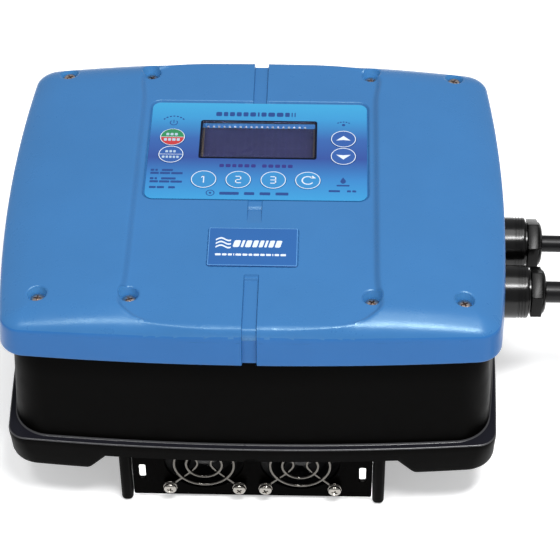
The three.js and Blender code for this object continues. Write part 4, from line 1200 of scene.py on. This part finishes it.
def fan_screws():
    """Pan heads on plain washers that clamp the guards' eyelets."""
    head = phillips_head(2.95, 1.9, 1.4, 12)
    rim = turned_mesh([(1.5, -0.5), (3.0, -0.5), (3.15, -0.38), (3.15, -0.12), (3.0, 0), (1.5, 0)], "Z", 40)
    spacer = turned_mesh([(2.2, -1.6), (2.7, -1.6), (2.7, -0.6), (2.2, -0.6)], "Z", 32)
    master = joined(all_painted([head, rim, spacer], "steel"))
    master.transform(Matrix.Rotation(pi / 2, 4, "X"))
    for k, node in enumerate(node_names("fan_screw_")):
        x, _, z = middle(node)
        place = shift(x, node_mm(node)[0][1] + 1.93, z)
        mesh = moved(master.copy(), place @ Matrix.Rotation(0.3 + 0.6 * k, 4, "Y"))
        show(f"{node}_head", mesh, "steel", [node], sharp=35)


def fans():
    fan_plate()
    for side, x in (("left", -FAN_X), ("right", FAN_X)):
        fan_frame(side, x)
        fan_rotor(side, x)
        finger_guard(side, x)
    fan_screws()


# ---------------------------------------------------------------- glands
def hexagon(radius, length):
    """A nut's hexagonal prism along X, with softened corners."""
    made = bmesh.new()
    r = radius * MM
    bmesh.ops.create_cone(made, cap_ends=True, segments=6, radius1=r, radius2=r, depth=length * MM)
    bmesh.ops.bevel(made, geom=made.edges[:], offset=0.35 * MM, segments=3, profile=0.5, affect="EDGES")
    made.transform(Matrix.Rotation(pi / 2, 4, "Y") @ Matrix.Rotation(pi / 6, 4, "Z"))
    return from_bmesh(made)


def glands():
    """For each cable a ribbed sleeve, and a hexagonal nut with a domed end."""
    for name, y in GLAND_Y.items():
        low, high = node_mm(f"gland_sleeve_{name}")
        start, end = 112.3, high[0]
        profile = [(7.8, low[0] + 1), (7.8, start), (11.9, start), (12.3, start + 0.4)]
        for ridge in [end - 5.6 + k * 1.35 for k in range(3)]:
            profile += [(12.3, ridge - 0.35), (12.05, ridge - 0.2), (12.05, ridge + 0.2), (12.3, ridge + 0.35)]
        profile += [(12.3, end - 1.5), (12.1, end - 1.0), (11.5, end - 0.75), (10.2, end - 0.7)]
        profile += [(10.2, end), (0, end)]
        sleeve = turned_mesh(profile, "X", 72, at=(0, y, GLAND_Z))
        show(f"gland_body_{name}", sleeve, "gland", [f"gland_sleeve_{name}"], sharp=32)
        low, high = node_mm(f"gland_nut_{name}")
        long, end = high[0] - low[0] - 1.9, high[0]
        hole = CABLES[name]["diameter"] / 2
        dome = [
            (hole + 0.1, end - 2.6), (10.6, end - 2.4), (10.4, end - 1.6), (9.6, end - 0.8), (8.4, end - 0.25),
            (7.2, end - 0.02), (hole + 1.0, end - 0.02), (hole + 0.2, end - 0.4), (hole + 0.1, end - 2.6),
        ]
        nut = moved(hexagon(12.2, long), shift(low[0] + long / 2, y, GLAND_Z))
        dome = turned_mesh(dome, "X", 56, at=(0, y, GLAND_Z))
        whole = joined(all_painted([nut, dome], "nut"))
        show(f"gland_cap_{name}", whole, "nut", [f"gland_nut_{name}"], sharp=32)


# ---------------------------------------------------------------- cables, coiled to the right of the unit
ROUTES = {
    "motor": [
        (134.8, 14, 70), (150, 14, 70), (166, 13.9, 68.6), (180, 13.6, 63), (192, 13.3, 53), (202, 13.1, 41),
        (211, 12.9, 28), (221, 12.9, 16.5), (233, 13, 8), (249, 13, 4.3),
    ],
    "supply": [
        (134.8, -18.5, 70), (150, -18.5, 70), (166, -17.8, 68.4), (180, -16.4, 62.8), (192, -14.6, 53),
        (202, -12.9, 41.5), (211, -11.3, 29), (221, -9.9, 17.8), (232, -8.9, 9.2), (243.6, -8.5, 5.2),
    ],
}
CABLES = {
    "motor": {
        "diameter": 8.0, "coil": (276.0, 55.0), "radius": 38.0, "turns": 3.5, "way": 1,
        "end": "motor_socket", "far_end": "connector",
    },
    "supply": {
        "diameter": 10.0, "coil": (277.0, -59.5), "radius": 46.0, "turns": 4.5, "way": -1,
        "end": "supply_plug", "far_end": "plug",
    },
}


def coil_points(cable):
    """The coil's turns, two wide and up to three high, then the tail to the connector."""
    d = cable["diameter"]
    cx, cy = cable["coil"]
    points = []
    start = -pi / 2 * cable["way"]
    steps = 20
    total = int(cable["turns"] * steps)
    lanes = [(0.5, 0), (-0.5, 0), (-0.5, 1), (0.5, 1), (0.5, 1)]
    for k in range(1, total + 1):
        turn = k / steps
        lane = min(int(turn), len(lanes) - 1)
        blend = smoothstep((turn - lane - 0.78) / 0.22) if lane < len(lanes) - 1 else 0.0
        here, after = lanes[lane], lanes[min(lane + 1, len(lanes) - 1)]
        out = here[0] + (after[0] - here[0]) * blend
        up = here[1] + (after[1] - here[1]) * blend
        r = cable["radius"] + out * d * 0.98
        angle = start + cable["way"] * 2 * pi * turn
        points.append((cx + r * cos(angle), cy + r * sin(angle), d * 0.5 + up * d * 0.95))
    return points


def cables(connectors):
    """Each cable as one curve, from its gland to its connector."""
    for name, cable in CABLES.items():
        x_end = node_mm(cable["end"])[1][0]
        route = ROUTES[name] + coil_points(cable)
        last = np.array(route[-1])
        reach = np.array((x_end, *middle(cable["end"])[1:])) - last
        route += [tuple(last + reach * t) for t in (0.35, 0.7, 1.0)]
        line = f"cable_{name}_line"
        curve = painted(round_curve(line, route, cable["diameter"] / 2, 7, steps=6), "cable")
        piece = placed(line, curve)
        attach(piece, ROOT)
        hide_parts(f"cable_{name}", f"cable_coil_{name}")


def connector(name, node, profile, contact, places, segments):
    """A connector turned about X, its cable end at the node's right, with brass contacts at (y, z) places."""
    _, y, z = middle(node)
    x = node_mm(node)[1][0]
    body = painted(turned_mesh(profile, "X", 64, at=(x, y, z)), "connector")
    contacts = [turned_mesh(contact, "X", segments, at=(x, y + dy, z + dz)) for dy, dz in places]
    whole = joined([body, *all_painted(contacts, "brass")])
    return show(name, whole, "connector", [node], sharp=35)


def connector_pieces():
    """A mains plug with two round pins, and a ribbed inline socket with three holes."""
    plug = [(0, 0), (5.6, 0), (6.4, -0.6)]
    for k in range(4):
        crest, x = 6.7 + k * 0.5, -2.5 - k * 3
        plug += [(crest, x), (crest, x - 1.2), (crest - 0.7, x - 1.4), (crest - 0.7, x - 2.7)]
    plug += [(9.5, -15), (13, -17), (16.6, -20), (17.6, -22), (17.8, -25), (17.8, -41.5), (17.2, -42.8), (0, -43)]
    pin = [(0, -42), (2.3, -42), (2.3, -58.5), (1.9, -60.3), (0.9, -61), (0, -61)]
    socket = [
        (0, 0), (4.6, 0), (5.4, -0.6), (7.4, -13.6), (8.2, -14.6), (10.6, -15.8), (12.8, -17.4), (13.5, -18.6),
        (13.5, -33.6), (13.9, -34.4), (14.6, -34.9),
    ]
    for x in [-35.4 - k * 4 for k in range(4)]:
        socket += [(15, x), (15, x - 2.8), (14.5, x - 3.1), (14.5, x - 3.7)]
    socket += [(15, -51.4), (14.4, -52.6), (13.6, -53), (12.2, -53), (12.0, -51), (0, -51)]
    hole = [(0, -51.3), (1.5, -51.3), (1.7, -51.1), (1.7, -50.9)]
    thirds = [pi / 2, pi * 7 / 6, pi * 11 / 6]
    return {
        "supply": connector("plug_body", "supply_plug", plug, pin, [(-9.5, 0), (9.5, 0)], 28),
        "motor": connector(
            "socket_body", "motor_socket", socket, hole, [(5 * cos(a), 5 * sin(a)) for a in thirds], 20
        ),
    }


cables(connector_pieces())
make_stage()


# ---------------------------------------------------------------- everything else
def paint_cad():
    """Materials for the CAD nodes that are shown as they are."""
    looks = {
        "seal": ["cover_seal"], "board": ["display_board", "main_board"], "aluminium": ["heat_sink"],
        "part": ["power_module", "capacitor_1", "capacitor_2"], "copper": ["inductor"],
        "terminal": ["terminal_block_motor", "terminal_block_supply"], "black": ["outlet_grille"],
        "bracket": ["wall_bracket"],
    }
    for look, nodes in looks.items():
        for node in nodes:
            mesh = frame["nodes"][node].data
            mesh.materials.clear()
            painted(mesh, look)


front_cover()
rear_base()
cover_screws()
keypad()
badge()
display()
fans()
glands()
paint_cad()
